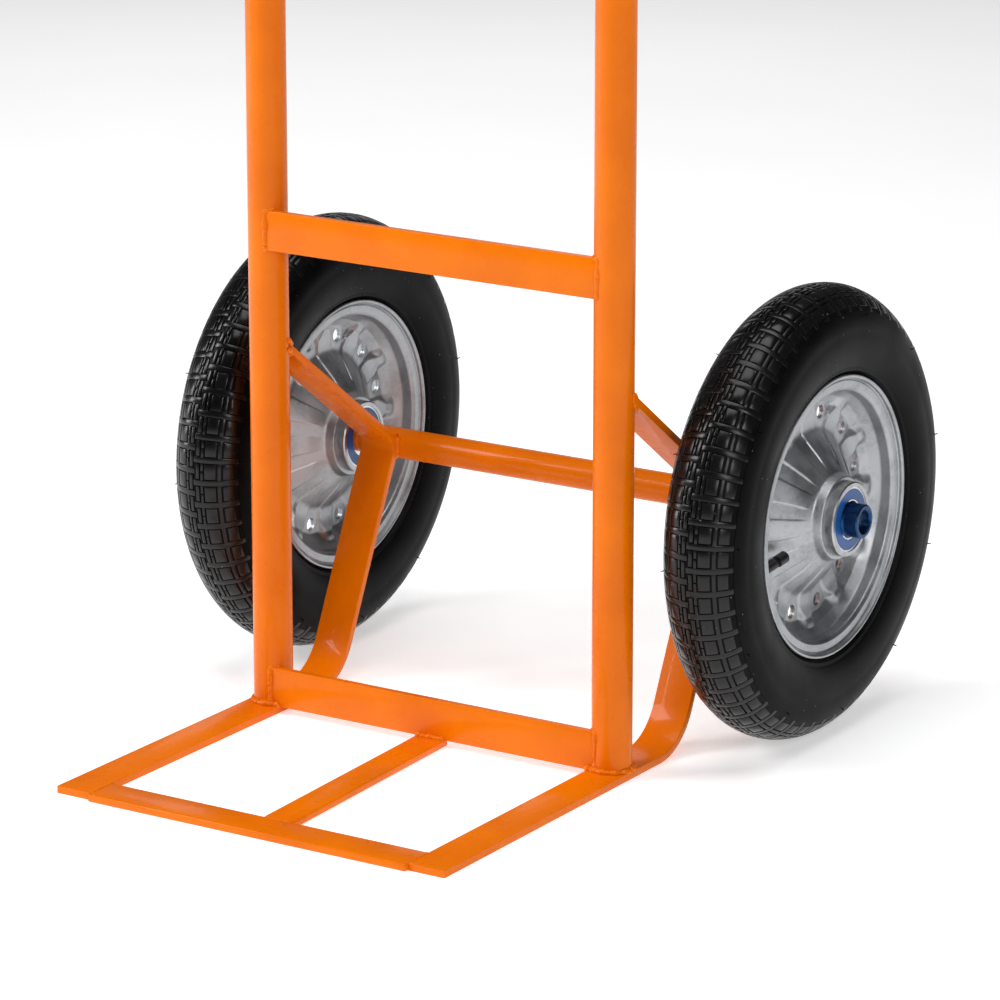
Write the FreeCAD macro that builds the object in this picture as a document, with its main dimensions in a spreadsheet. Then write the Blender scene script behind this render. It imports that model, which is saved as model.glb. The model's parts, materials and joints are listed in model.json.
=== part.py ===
import FreeCAD, Part
import math
import os
import re
import Sketcher

# Two-wheeled hand truck: a welded steel frame with an open toe frame, and two pneumatic
# wheels that spin on ball bearings. Millimetres. +Z is up and the load side faces -Y.
# The origin is on the floor, under the middle of the truck's overall box.

os.makedirs("parts", exist_ok=True)
doc = FreeCAD.newDocument("hand_truck")
VEC = FreeCAD.Vector

# Driving dimensions. Every alias has an underscore, which is how an expression finds it.
SIZES = [
    ("upright_span", "320.6", "distance between the axes of the two uprights"),
    ("upright_od", "32", "outside diameter of the upright tube"),
    ("upright_wall", "2", "wall of the upright tube"),
    ("bar_width", "32", "width of the flat bar of the frame"),
    ("bar_thick", "6", "thickness of the flat bar of the frame"),
    ("side_bar_shift", "2", "how far each side bar is centred outside its upright"),
    ("toe_reach", "266", "upright axis to the front end of the side bars"),
    ("front_bar_proud", "4", "how far the toe's front bar stands in front of the side bars"),
    ("centre_bar_width", "27", "width of the toe's centre bar"),
    ("centre_bar_skew", "10", "sideways run of the centre bar from the crossbar to the front bar"),
    ("crossbar_inset", "1.5", "front of the upright to the front face of the crossbars"),
    ("mid_bar_top", "415", "top edge of the middle crossbar"),
    ("upper_bar_top", "797", "top edge of the upper crossbar"),
    ("handle_bend_z", "1010", "height where the uprights start to bend into handles"),
    ("handle_bend_r", "80", "radius of the handle bend, at the tube's axis"),
    ("handle_lean", "60", "turn of the handle from the vertical, in degrees"),
    ("handle_run", "128", "straight tube behind the handle bend"),
    ("grip_length", "118", "length of the rubber grip over the tube"),
    ("grip_wall", "3.5", "thickness of the grip round the tube"),
    ("grip_stop", "4", "height of the grip's hand stop over the grip"),
    ("grip_flange_thick", "3", "thickness of the hand stop at its edge"),
    ("grip_fillet", "9", "length of the taper from the hand stop to the grip"),
    ("grip_dome", "4", "how far the grip's end is rounded in"),
    ("grip_end_wall", "4", "rubber over the tube's open end"),
    ("axle_back", "174", "upright axis to wheel axle"),
    ("floor_bend_y", "44", "upright axis to the start of the side bar's lower bend"),
    ("floor_bend_r", "50", "radius of the side bar's lower bend, at mid thickness"),
    ("axle_bend_r", "14", "radius of the side bar's bend in front of the axle"),
    ("arm_top_z", "306", "height of the side bar's upper arm at the upright axis"),
    ("axle_rod_od", "20", "diameter of the axle rod"),
    ("axle_clearance", "0.5", "gap between the axle rod and the tube round it"),
    ("axle_tube_wall", "2", "wall of the axle tube"),
    ("small_chamfer", "1", "chamfer on the ends of turned parts"),
    ("wheel_gap", "16.7", "clearance between each side bar and the tyre beside it"),
    ("tyre_radius", "182.5", "outside radius of the tyre"),
    ("tyre_crown", "8.5", "rubber over the inner tube at the tread"),
    ("tyre_wall", "5.5", "rubber beside the inner tube at the widest place"),
    ("bead_rise", "12", "bead seat to the bottom of the tyre's round space"),
    ("bead_toe", "14", "middle plane to the inner edge of each bead"),
    ("bead_lip", "1.5", "how far the tyre's wall starts outside the rim flange"),
    ("tyre_wall_r", "45", "radius of the tyre's side wall, in section"),
    ("shoulder_drop", "12.5", "tread centre to shoulder, measured along the radius"),
    ("shoulder_in", "8", "how far the shoulder is inside the tyre's widest place"),
    ("tube_gap", "0.8", "clearance between the inner tube and the tyre"),
    ("tube_wall", "2", "wall of the inner tube"),
    ("bead_radius", "102", "radius of the rim's bead seat"),
    ("flange_rise", "11.5", "height of the rim flange over the bead seat"),
    ("flange_curl", "5.2", "how far the flange's edge is rolled out from the bead"),
    ("bead_half", "24.4", "middle plane to the outer end of the bead seat"),
    ("well_depth", "12", "bead seat to the edge of the flat disc, along the radius"),
    ("well_step", "8", "middle plane to the bend in the rim well"),
    ("seat_start", "16", "middle plane to the inner end of the bead seat"),
    ("cone_radius", "64", "radius where the disc turns into the hub cone"),
    ("cone_half", "27", "middle plane to the hub end of the cone"),
    ("rim_sheet", "1.8", "sheet thickness of the pressed rim"),
    ("vent_radius", "80", "circle of the rim's round holes"),
    ("vent_hole_d", "11", "diameter of the rim's round holes"),
    ("vent_count", "12", "number of round holes in each rim half"),
    ("cone_lip", "5", "length of the rim's collar round the hub"),
    ("cone_flare", "3", "how far the cone's end stands off the hub"),
    ("hub_wall", "4", "wall of the hub shell round its bearings"),
    ("hub_length", "86", "length of the hub shell"),
    ("hub_step", "4", "height of the step behind each bearing"),
    ("bearing_od", "52", "outside diameter of the wheel bearing"),
    ("bearing_width", "15", "width of the wheel bearing"),
    ("bearing_inset", "0.8", "how deep the bearing sits below the hub's end"),
    ("ball_radius", "4.6", "radius of the balls"),
    ("race_gap", "0.3", "free play between a ball and its race"),
    ("inner_shoulder", "2", "ball centres to the shoulder of the bearing's inner ring"),
    ("outer_shoulder", "2.5", "ball centres to the shoulder of the bearing's outer ring"),
    ("seal_rim", "1.4", "steel left round the seal"),
    ("seal_thick", "1.2", "thickness of the bearing seal"),
    ("seal_gap", "0.3", "clearance between the seal's lip and the inner ring"),
    ("cage_half", "5.6", "half width of the ball cage"),
    ("cage_thick", "2", "radial thickness of the ball cage"),
    ("spacer_wall", "3", "wall of the spacer between the bearings"),
    ("collar_wall", "3.6", "wall of the axle end collar round the rod"),
    ("collar_length", "12.8", "length of the axle end collar"),
    ("collar_seat", "6.5", "length of the collar that grips the axle rod"),
    ("collar_step", "1", "height of the step that the rod's end meets in the collar"),
    ("collar_chamfer", "1.4", "chamfer round the collar's mouth"),
    ("grub_d", "6", "diameter of the collar's grub screw"),
    ("grub_angle", "-50", "direction of the grub screw, from straight back, in degrees"),
    ("grub_sink", "0.5", "how deep the grub screw sits in the collar"),
    ("grub_socket", "1.5", "radius and depth of the screw's socket"),
    ("valve_offset", "9", "middle plane of the wheel to the valve's hole, towards the outside"),
    ("valve_angle", "197", "place of the valve round the rim, in degrees"),
    ("valve_tilt", "15", "lean of the valve away from the wheel's middle plane, in degrees"),
    ("valve_od", "8.6", "diameter of the valve's rubber stem"),
    ("valve_reach", "35", "length of the valve stem on the hub side of the rim"),
    ("valve_sink", "3", "bead seat to the point that the valve is placed by"),
    ("valve_gap", "0.3", "clearance of the stem in its rim hole"),
    ("valve_thread", "1.2", "how much thinner the stem is inside its cap"),
    ("valve_land", "2", "length of the stem's taper and of the cap's closed end"),
    ("cap_length", "11", "length of the valve cap"),
    ("cap_od", "9.6", "diameter of the valve cap"),
]
# Sizes that follow from the ones above.
DERIVED = [
    ("upright_x", "=upright_span / 2"),
    ("upright_r", "=upright_od / 2"),
    ("upright_y", "=(toe_reach + front_bar_proud - axle_back - tyre_radius) / 2"),
    ("side_bar_x", "=upright_x + side_bar_shift"),
    ("side_bar_inner", "=side_bar_x - bar_width / 2"),
    ("axle_y", "=upright_y + axle_back"),
    ("crossbar_face", "=upright_r - crossbar_inset"),
    ("crossbar_back", "=crossbar_face - bar_thick"),
    ("bar_end_front", "=upright_x - sqrt(upright_r^2 - crossbar_face^2)"),
    ("bar_end_back", "=upright_x - sqrt(upright_r^2 - crossbar_back^2)"),
    ("axle_tube_bore", "=axle_rod_od + 2 * axle_clearance"),
    ("axle_tube_od", "=axle_tube_bore + 2 * axle_tube_wall"),
    # Side bar: two bend centres, and the two straight legs that are tangent to the bends.
    ("half_bar", "=bar_thick / 2"),
    ("low_y", "=floor_bend_y"),
    ("low_z", "=floor_bend_r + half_bar"),
    ("top_y", "=axle_back - axle_tube_od / 2 - axle_bend_r - half_bar"),
    ("top_z", "=tyre_radius"),
    ("leg_run", "=sqrt((top_y - low_y)^2 + (top_z - low_z)^2)"),
    ("leg_angle", "=atan2(top_z - low_z; top_y - low_y) + asin((floor_bend_r - axle_bend_r) / leg_run)"),
    ("arm_run", "=sqrt(top_y^2 + (arm_top_z - top_z)^2)"),
    ("arm_slope", "=atan2(arm_top_z - top_z; top_y) - asin(axle_bend_r / arm_run)"),
    ("low_out", "=floor_bend_r + half_bar"),
    ("low_in", "=floor_bend_r - half_bar"),
    ("top_out", "=axle_bend_r + half_bar"),
    ("top_in", "=axle_bend_r - half_bar"),
    ("arm_drop", "=half_bar / cos(arm_slope)"),
    ("grip_od", "=upright_od + 2 * grip_wall"),
    ("grip_flange_od", "=grip_od + 2 * grip_stop"),
    ("handle_y", "=handle_bend_r * (1 - cos(handle_lean * 1 deg))"),
    ("handle_z", "=handle_bend_z + handle_bend_r * sin(handle_lean * 1 deg)"),
    ("grip_y", "=handle_y + (handle_run - grip_length) * sin(handle_lean * 1 deg)"),
    ("grip_z", "=handle_z + (handle_run - grip_length) * cos(handle_lean * 1 deg)"),
    # Wheel and bearing.
    ("hub_half", "=hub_length / 2"),
    ("hub_od", "=bearing_od + 2 * hub_wall"),
    ("hub_bore", "=bearing_od - 2 * hub_step"),
    ("hub_edge", "=hub_od / 2 - small_chamfer"),
    ("ball_circle", "=(axle_rod_od + bearing_od) / 2"),
    ("seal_od", "=bearing_od - 2 * seal_rim"),
    ("spacer_od", "=axle_rod_od + 2 * spacer_wall"),
    ("collar_od", "=axle_rod_od + 2 * collar_wall"),
    ("collar_mouth", "=axle_rod_od - 2 * collar_step"),
    ("bearing_face", "=hub_half - bearing_inset"),
    ("bearing_back", "=bearing_face - bearing_width"),
    ("bearing_mid", "=bearing_face - bearing_width / 2"),
    ("groove_r", "=ball_radius + race_gap"),
    ("race_in_r", "=ball_circle / 2 - inner_shoulder"),
    ("race_out_r", "=ball_circle / 2 + outer_shoulder"),
    ("groove_in_half", "=sqrt(groove_r^2 - inner_shoulder^2)"),
    ("groove_out_half", "=sqrt(groove_r^2 - outer_shoulder^2)"),
    ("flange_radius", "=bead_radius + flange_rise"),
    ("flange_half", "=bead_half + flange_curl"),
    ("well_radius", "=bead_radius - well_depth"),
    ("cavity_radius", "=(tyre_radius - tyre_crown - bead_radius - bead_rise) / 2"),
    ("cavity_r", "=tyre_radius - tyre_crown - cavity_radius"),
    ("cavity_mouth", "=cavity_r - sqrt(cavity_radius^2 - bead_toe^2)"),
    ("tyre_half_width", "=cavity_radius + tyre_wall"),
    ("wheel_x", "=side_bar_x + bar_width / 2 + wheel_gap + tyre_half_width"),
    ("shoulder_half", "=tyre_half_width - shoulder_in"),
    ("crown_r", "=(shoulder_half^2 + shoulder_drop^2) / (2 * shoulder_drop)"),
    ("tube_r", "=cavity_radius - tube_gap"),
    ("valve_seat_r", "=bead_radius - valve_sink"),
    ("valve_root", "=cavity_r - valve_seat_r"),
    ("valve_drill", "=3 * valve_od"),
    ("axle_end", "=wheel_x + bearing_face + collar_seat"),
]

sheet = doc.addObject("Spreadsheet::Sheet", "sizes")
for row, (alias, value, note) in enumerate(SIZES, 1):
    sheet.set(f"A{row}", note)
    sheet.set(f"B{row}", value)
    sheet.setAlias(f"B{row}", alias)
for row, (alias, formula) in enumerate(DERIVED, len(SIZES) + 1):
    sheet.set(f"A{row}", "derived")
    sheet.set(f"B{row}", formula)
    sheet.setAlias(f"B{row}", alias)
doc.recompute()

LEFT_AND_RIGHT = (("left", -1), ("right", 1))
SKETCH_X_AXIS = -1
SKETCH_Y_AXIS = -2


def size(expression):
    """The value of an expression in the sheet's aliases."""
    value = sheet.evalExpression(expression)
    return float(getattr(value, "Value", value))


def ref(expression):
    """The same expression as another object of the document has to write it."""
    return re.sub(r"[a-z]+(?:_[a-z]+)+", r"sizes.\g<0>", expression)


def make_body(name, x="0", y="0", z="0", turn_axis=None, turn="0"):
    """An empty body with its Label and a Placement that follows the sheet."""
    body = doc.addObject("PartDesign::Body", name)
    body.Label = name
    body.AllowCompound = True
    axis = turn_axis or VEC(0, 0, 1)
    body.Placement = FreeCAD.Placement(VEC(0, 0, 0), FreeCAD.Rotation(axis, size(turn)))
    for letter, expression in (("x", x), ("y", y), ("z", z)):
        body.setExpression(f"Placement.Base.{letter}", ref(expression))
    if turn_axis is not None:
        body.setExpression("Placement.Rotation.Angle", ref(turn))
    return body


def origin_feature(body, role):
    return next(item for item in body.Origin.OriginFeatures if item.Role == role)


def make_sketch(body, plane, lift="0"):
    sketch = body.newObject("Sketcher::SketchObject", f"{body.Name}_sketch")
    sketch.AttachmentSupport = [(origin_feature(body, plane), "")]
    sketch.MapMode = "FlatFace"
    if lift != "0":
        sketch.setExpression("AttachmentOffset.Base.z", ref(lift))
    return sketch


def pin_point(sketch, edge, end, point):
    """Fix one end of an edge at a point given as two expressions."""
    kinds = (("DistanceX", SKETCH_Y_AXIS), ("DistanceY", SKETCH_X_AXIS))
    for expression, (kind, axis) in zip(point, kinds):
        if expression == "0":
            sketch.addConstraint(Sketcher.Constraint("PointOnObject", edge, end, axis))
            continue
        rule = Sketcher.Constraint(kind, -1, 1, edge, end, size(expression))
        number = sketch.addConstraint(rule)
        sketch.setExpression(f"Constraints[{number}]", ref(expression))


def arc_through(start, end, radius, side):
    """The short arc from start to end; side +1 has its centre on the left of the way."""
    along = end - start
    half = along.Length / 2
    across = VEC(-along.y, along.x, 0).normalize()
    reach = math.sqrt(max(radius * radius - half * half, 0))
    centre = (start + end) / 2 + across * reach * side
    first, last = (start, end) if side > 0 else (end, start)
    first_angle = math.atan2(first.y - centre.y, first.x - centre.x)
    last_angle = math.atan2(last.y - centre.y, last.x - centre.x)
    return Part.ArcOfCircle(Part.Circle(centre, VEC(0, 0, 1), radius), first_angle, last_angle)


def draw(sketch, points, closed=True):
    """Lines and arcs through points. A point is (x, y), or (x, y, radius, side) when the
    edge that leaves it is an arc."""
    spots = [VEC(size(point[0]), size(point[1]), 0) for point in points]
    count = len(points) if closed else len(points) - 1
    base = sketch.GeometryCount
    heads = []
    tails = []
    for index in range(count):
        start = spots[index]
        end = spots[(index + 1) % len(spots)]
        if len(points[index]) == 4:
            radius, side = points[index][2:]
            edge = sketch.addGeometry(arc_through(start, end, size(radius), side), False)
            rule = sketch.addConstraint(Sketcher.Constraint("Radius", edge, size(radius)))
            sketch.setExpression(f"Constraints[{rule}]", ref(radius))
            heads.append(1 if side > 0 else 2)
            tails.append(2 if side > 0 else 1)
        else:
            edge = sketch.addGeometry(Part.LineSegment(start, end), False)
            heads.append(1)
            tails.append(2)
    for index in range(count):
        pin_point(sketch, base + index, heads[index], points[index][:2])
    joins = count if closed else count - 1
    for index in range(joins):
        after = (index + 1) % count
        ends = (base + index, tails[index], base + after, heads[after])
        sketch.addConstraint(Sketcher.Constraint("Coincident", *ends))
    if not closed:
        pin_point(sketch, base + count - 1, tails[-1], points[-1][:2])


def draw_circle(sketch, x, y, radius):
    circle = Part.Circle(VEC(size(x), size(y), 0), VEC(0, 0, 1), size(radius))
    edge = sketch.addGeometry(circle, False)
    rule = sketch.addConstraint(Sketcher.Constraint("Radius", edge, size(radius)))
    sketch.setExpression(f"Constraints[{rule}]", ref(radius))
    pin_point(sketch, edge, 3, (x, y))


def add_pad(body, sketch, length, symmetric=False):
    pad = body.newObject("PartDesign::Pad", f"{body.Name}_pad")
    pad.Profile = (sketch, [""])
    pad.SideType = "Symmetric" if symmetric else "One side"
    pad.setExpression("Length", ref(length))
    doc.recompute()
    return pad


def add_pocket(body, sketch, length, reverse=False, symmetric=False):
    """Cut a sketch away, and refuse a cut that misses the piece."""
    before = body.Shape.Volume
    pocket = body.newObject("PartDesign::Pocket", f"{body.Name}_pocket")
    pocket.Profile = (sketch, [""])
    pocket.SideType = "Symmetric" if symmetric else "One side"
    pocket.Reversed = reverse
    pocket.setExpression("Length", ref(length))
    doc.recompute()
    if body.Shape.Volume > before - 0.01:
        raise RuntimeError(f"{body.Label}: a pocket cuts nothing")
    return pocket


def add_turn(body, sketch, axis="X_Axis"):
    """Turn a profile a whole turn about one of the body's axes."""
    turned = body.newObject("PartDesign::Revolution", f"{body.Name}_turn")
    turned.Profile = (sketch, [""])
    turned.ReferenceAxis = (origin_feature(body, axis), [""])
    turned.Angle = 360
    doc.recompute()
    return turned


def turned_piece(name, points, **place):
    """A round piece about its own X axis, from a profile of (x, radius) points."""
    body = make_body(name, **place)
    sketch = make_sketch(body, "XY_Plane")
    draw(sketch, points)
    add_turn(body, sketch)
    return body


def ring_profile(low, high, inside, outside):
    return [(low, inside), (high, inside), (high, outside), (low, outside)]


def at_axle(x="0"):
    """Placement of a piece that is centred on the wheel axle."""
    return {"x": x, "y": "axle_y", "z": "tyre_radius"}


def at_wheel(side):
    return at_axle(f"{side} * wheel_x")


def outward(side):
    """Turn that points a piece's own +X away from the truck's middle."""
    return {"turn_axis": VEC(0, 0, 1), "turn": "0" if side > 0 else "180"}


def upright(name, side):
    """Bent tube: straight up from the toe frame, then back into the handle."""
    body = make_body(name, x=f"{side} * upright_x", y="upright_y")
    section = make_sketch(body, "XY_Plane", lift="bar_thick")
    draw_circle(section, "0", "0", "upright_r")
    draw_circle(section, "0", "0", "upright_r - upright_wall")
    path = make_sketch(body, "YZ_Plane")
    end_y = "handle_y + handle_run * sin(handle_lean * 1 deg)"
    end_z = "handle_z + handle_run * cos(handle_lean * 1 deg)"
    bend = ("0", "handle_bend_z", "handle_bend_r", -1)
    draw(path, [("0", "bar_thick"), bend, ("handle_y", "handle_z"), (end_y, end_z)], closed=False)
    pipe = body.newObject("PartDesign::AdditivePipe", f"{name}_pipe")
    pipe.Profile = (section, [""])
    pipe.Spine = (path, [f"Edge{number}" for number in (1, 2, 3)])
    doc.recompute()


def grip(name, side):
    """Rubber hand grip with a hand stop and a closed end, pushed over the tube."""
    place = {"x": f"{side} * upright_x", "y": "upright_y + grip_y", "z": "grip_z"}
    body = make_body(name, turn_axis=VEC(1, 0, 0), turn="-handle_lean", **place)
    sketch = make_sketch(body, "XZ_Plane")
    draw(sketch, [
        ("upright_r", "0"),
        ("grip_flange_od / 2", "0"),
        ("grip_flange_od / 2", "grip_flange_thick"),
        ("grip_od / 2", "grip_flange_thick + grip_fillet"),
        ("grip_od / 2", "grip_length"),
        ("grip_od / 2 - grip_dome", "grip_length + grip_end_wall"),
        ("0", "grip_length + grip_end_wall"),
        ("0", "grip_length"),
        ("upright_r", "grip_length"),
    ])
    add_turn(body, sketch, "Z_Axis")


def crossbar(name, top):
    """Flat bar on edge, its ends coped round the fronts of the uprights."""
    body = make_body(name, y="upright_y", z=f"{top} - bar_width")
    sketch = make_sketch(body, "XY_Plane")
    draw(sketch, [
        ("-bar_end_front", "-crossbar_face"),
        ("bar_end_front", "-crossbar_face", "upright_r", -1),
        ("bar_end_back", "-crossbar_back"),
        ("-bar_end_back", "-crossbar_back", "upright_r", -1),
    ])
    add_pad(body, sketch, "bar_width")


def side_bar(name, side):
    """One flat bar: along the floor under the upright, up behind it to the axle, round
    a tight bend in front of the axle tube, and forward up to the back of the upright."""
    body = make_body(name, x=f"{side} * side_bar_x", y="upright_y")
    sketch = make_sketch(body, "YZ_Plane")
    leg_sin = "sin(leg_angle)"
    leg_cos = "cos(leg_angle)"
    arm_sin = "sin(arm_slope)"
    arm_cos = "cos(arm_slope)"
    draw(sketch, [
        ("-toe_reach", "0"),
        ("low_y", "0", "low_out", 1),
        (f"low_y + low_out * {leg_sin}", f"low_z - low_out * {leg_cos}"),
        (f"top_y + top_out * {leg_sin}", f"top_z - top_out * {leg_cos}", "top_out", 1),
        (f"top_y + top_out * {arm_sin}", f"top_z + top_out * {arm_cos}"),
        ("0", "arm_top_z + arm_drop"),
        ("0", "arm_top_z - arm_drop"),
        (f"top_y + top_in * {arm_sin}", f"top_z + top_in * {arm_cos}", "top_in", -1),
        (f"top_y + top_in * {leg_sin}", f"top_z - top_in * {leg_cos}"),
        (f"low_y + low_in * {leg_sin}", f"low_z - low_in * {leg_cos}", "low_in", -1),
        ("low_y", "bar_thick"),
        ("-toe_reach", "bar_thick"),
    ])
    add_pad(body, sketch, "bar_width", symmetric=True)
    # The arm stops at the back of the upright, so the tube and what lies in front go.
    cope = make_sketch(body, "XY_Plane", lift="top_z")
    edge = "bar_width"
    draw(cope, [
        (f"-{edge}", "-upright_od"),
        (edge, "-upright_od"),
        (edge, "0"),
        (f"upright_r - {side} * side_bar_shift", "0", "upright_r", 1),
        (f"-{side} * side_bar_shift", "upright_r", "upright_r", 1),
        (f"-upright_r - {side} * side_bar_shift", "0"),
        (f"-{edge}", "0"),
    ])
    add_pocket(body, cope, "arm_top_z", reverse=True)


def flat_toe_bar(name, points):
    body = make_body(name, y="upright_y")
    sketch = make_sketch(body, "XY_Plane")
    draw(sketch, points)
    add_pad(body, sketch, "bar_thick")


def axle_parts():
    """Tube welded across the side bars, and the rod through it that carries the wheels."""
    tube_half = "wheel_x - bearing_face"
    tube = ring_profile(f"-({tube_half})", tube_half, "axle_tube_bore / 2", "axle_tube_od / 2")
    turned_piece("axle_tube", tube, **at_axle())
    rod = [
        ("-axle_end", "0"),
        ("axle_end", "0"),
        ("axle_end", "axle_rod_od / 2 - small_chamfer"),
        ("axle_end - small_chamfer", "axle_rod_od / 2"),
        ("-axle_end + small_chamfer", "axle_rod_od / 2"),
        ("-axle_end", "axle_rod_od / 2 - small_chamfer"),
    ]
    turned_piece("axle_rod", rod, **at_axle())


def axle_collar(name, side):
    """Steel collar that holds the wheel on the rod, with a tapped hole for its screw."""
    profile = [
        ("bearing_face", "axle_rod_od / 2"),
        ("bearing_face + collar_seat", "axle_rod_od / 2"),
        ("bearing_face + collar_seat", "collar_mouth / 2"),
        ("bearing_face + collar_length - collar_chamfer", "collar_mouth / 2"),
        ("bearing_face + collar_length", "collar_mouth / 2 + collar_chamfer"),
        ("bearing_face + collar_length", "collar_od / 2 - small_chamfer"),
        ("bearing_face + collar_length - small_chamfer", "collar_od / 2"),
        ("bearing_face + small_chamfer", "collar_od / 2"),
        ("bearing_face", "race_in_r - small_chamfer"),
    ]
    body = turned_piece(name, profile, **at_wheel(side), **outward(side))
    hole = body.newObject("PartDesign::SubtractiveCylinder", f"{name}_hole")
    hole.setExpression("Radius", ref("grub_d / 2"))
    hole.setExpression("Height", ref("collar_od"))
    turn = FreeCAD.Rotation(VEC(1, 0, 0), size("grub_angle") * side - 90 * side)
    hole.AttachmentSupport = [(origin_feature(body, "YZ_Plane"), "")]
    hole.MapMode = "Deactivated"
    hole.Placement = FreeCAD.Placement(VEC(0, 0, 0), turn)
    hole.setExpression("Placement.Base.x", ref("bearing_face + collar_seat / 2"))
    doc.recompute()


def grub_screw(name, side):
    """Headless screw in the collar's tapped hole, its point on the axle rod."""
    place = at_axle(f"{side} * (wheel_x + bearing_face + collar_seat / 2)")
    body = make_body(name, turn_axis=VEC(1, 0, 0), turn="grub_angle - 90", **place)
    sketch = make_sketch(body, "XZ_Plane")
    draw(sketch, [
        ("0", "axle_rod_od / 2"),
        ("grub_d / 2 - small_chamfer / 2", "axle_rod_od / 2"),
        ("grub_d / 2", "axle_rod_od / 2 + small_chamfer / 2"),
        ("grub_d / 2", "collar_od / 2 - grub_sink"),
        ("grub_socket", "collar_od / 2 - grub_sink"),
        ("grub_socket", "collar_od / 2 - grub_sink - grub_socket"),
        ("0", "collar_od / 2 - grub_sink - grub_socket"),
    ])
    add_turn(body, sketch, "Z_Axis")


def bearing(prefix, side, end):
    """Sealed ball bearing. end is +1 at the hub's outer end and -1 at its inner end."""
    centre = at_axle(f"{side} * (wheel_x + {end} * bearing_mid)")
    half = "bearing_width / 2"
    inner = [
        (f"-{half}", "axle_rod_od / 2"),
        (half, "axle_rod_od / 2"),
        (half, "race_in_r"),
        ("groove_in_half", "race_in_r", "groove_r", -1),
        ("-groove_in_half", "race_in_r"),
        (f"-{half}", "race_in_r"),
    ]
    turned_piece(f"{prefix}_inner_ring", inner, **centre)
    outer = [
        (f"-{half}", "seal_od / 2"),
        (f"-{half} + seal_thick", "seal_od / 2"),
        (f"-{half} + seal_thick", "race_out_r"),
        ("-groove_out_half", "race_out_r", "groove_r", -1),
        ("groove_out_half", "race_out_r"),
        (f"{half} - seal_thick", "race_out_r"),
        (f"{half} - seal_thick", "seal_od / 2"),
        (half, "seal_od / 2"),
        (half, "bearing_od / 2"),
        (f"-{half}", "bearing_od / 2"),
    ]
    turned_piece(f"{prefix}_outer_ring", outer, **centre)
    # One seal at each face, in the same node.
    seals = make_body(f"{prefix}_seals", **centre)
    sketch = make_sketch(seals, "XY_Plane")
    lip = "race_in_r + seal_gap"
    draw(sketch, ring_profile(f"{half} - seal_thick", half, lip, "seal_od / 2"))
    draw(sketch, ring_profile(f"-{half}", f"-{half} + seal_thick", lip, "seal_od / 2"))
    add_turn(seals, sketch)
    ball_set(f"{prefix}_ball_set", side, end)


def ball_set(name, side, end):
    """Seven balls in a drilled cage: a group of solids about one axis."""
    circle = size("ball_circle / 2")
    radius = size("ball_radius")
    cage_half = size("cage_half")
    thick = size("cage_thick")
    along = VEC(1, 0, 0)
    cage = Part.makeCylinder(circle + thick / 2, 2 * cage_half, VEC(-cage_half, 0, 0), along)
    bore = Part.makeCylinder(circle - thick / 2, 2 * cage_half, VEC(-cage_half, 0, 0), along)
    cage = cage.cut(bore)
    balls = []
    ball_count = 7
    for number in range(ball_count):
        angle = 2 * math.pi * number / ball_count
        out = VEC(0, math.cos(angle), math.sin(angle))
        pocket = Part.makeCylinder(radius + size("race_gap") / 2, 2 * circle, VEC(0, 0, 0), out)
        cage = cage.cut(pocket)
        balls.append(Part.makeSphere(radius, out * circle))
    feature = doc.addObject("Part::Feature", name)
    feature.Label = name
    feature.Shape = Part.makeCompound([cage] + balls)
    feature.setExpression("Placement.Base.x", ref(f"{side} * (wheel_x + {end} * bearing_mid)"))
    feature.setExpression("Placement.Base.y", ref("axle_y"))
    feature.setExpression("Placement.Base.z", ref("tyre_radius"))


def hub_shell(name, side):
    """Tube with a stepped bore: a seat for a bearing at each end."""
    half = "hub_half"
    seat = "bearing_back"
    profile = [
        (f"-{half}", "bearing_od / 2"),
        (f"-{seat}", "bearing_od / 2"),
        (f"-{seat}", "hub_bore / 2"),
        (seat, "hub_bore / 2"),
        (seat, "bearing_od / 2"),
        (half, "bearing_od / 2"),
        (half, "hub_edge"),
        (f"{half} - small_chamfer", "hub_od / 2"),
        (f"-{half} + small_chamfer", "hub_od / 2"),
        (f"-{half}", "hub_edge"),
    ]
    turned_piece(name, profile, **at_wheel(side))


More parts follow.
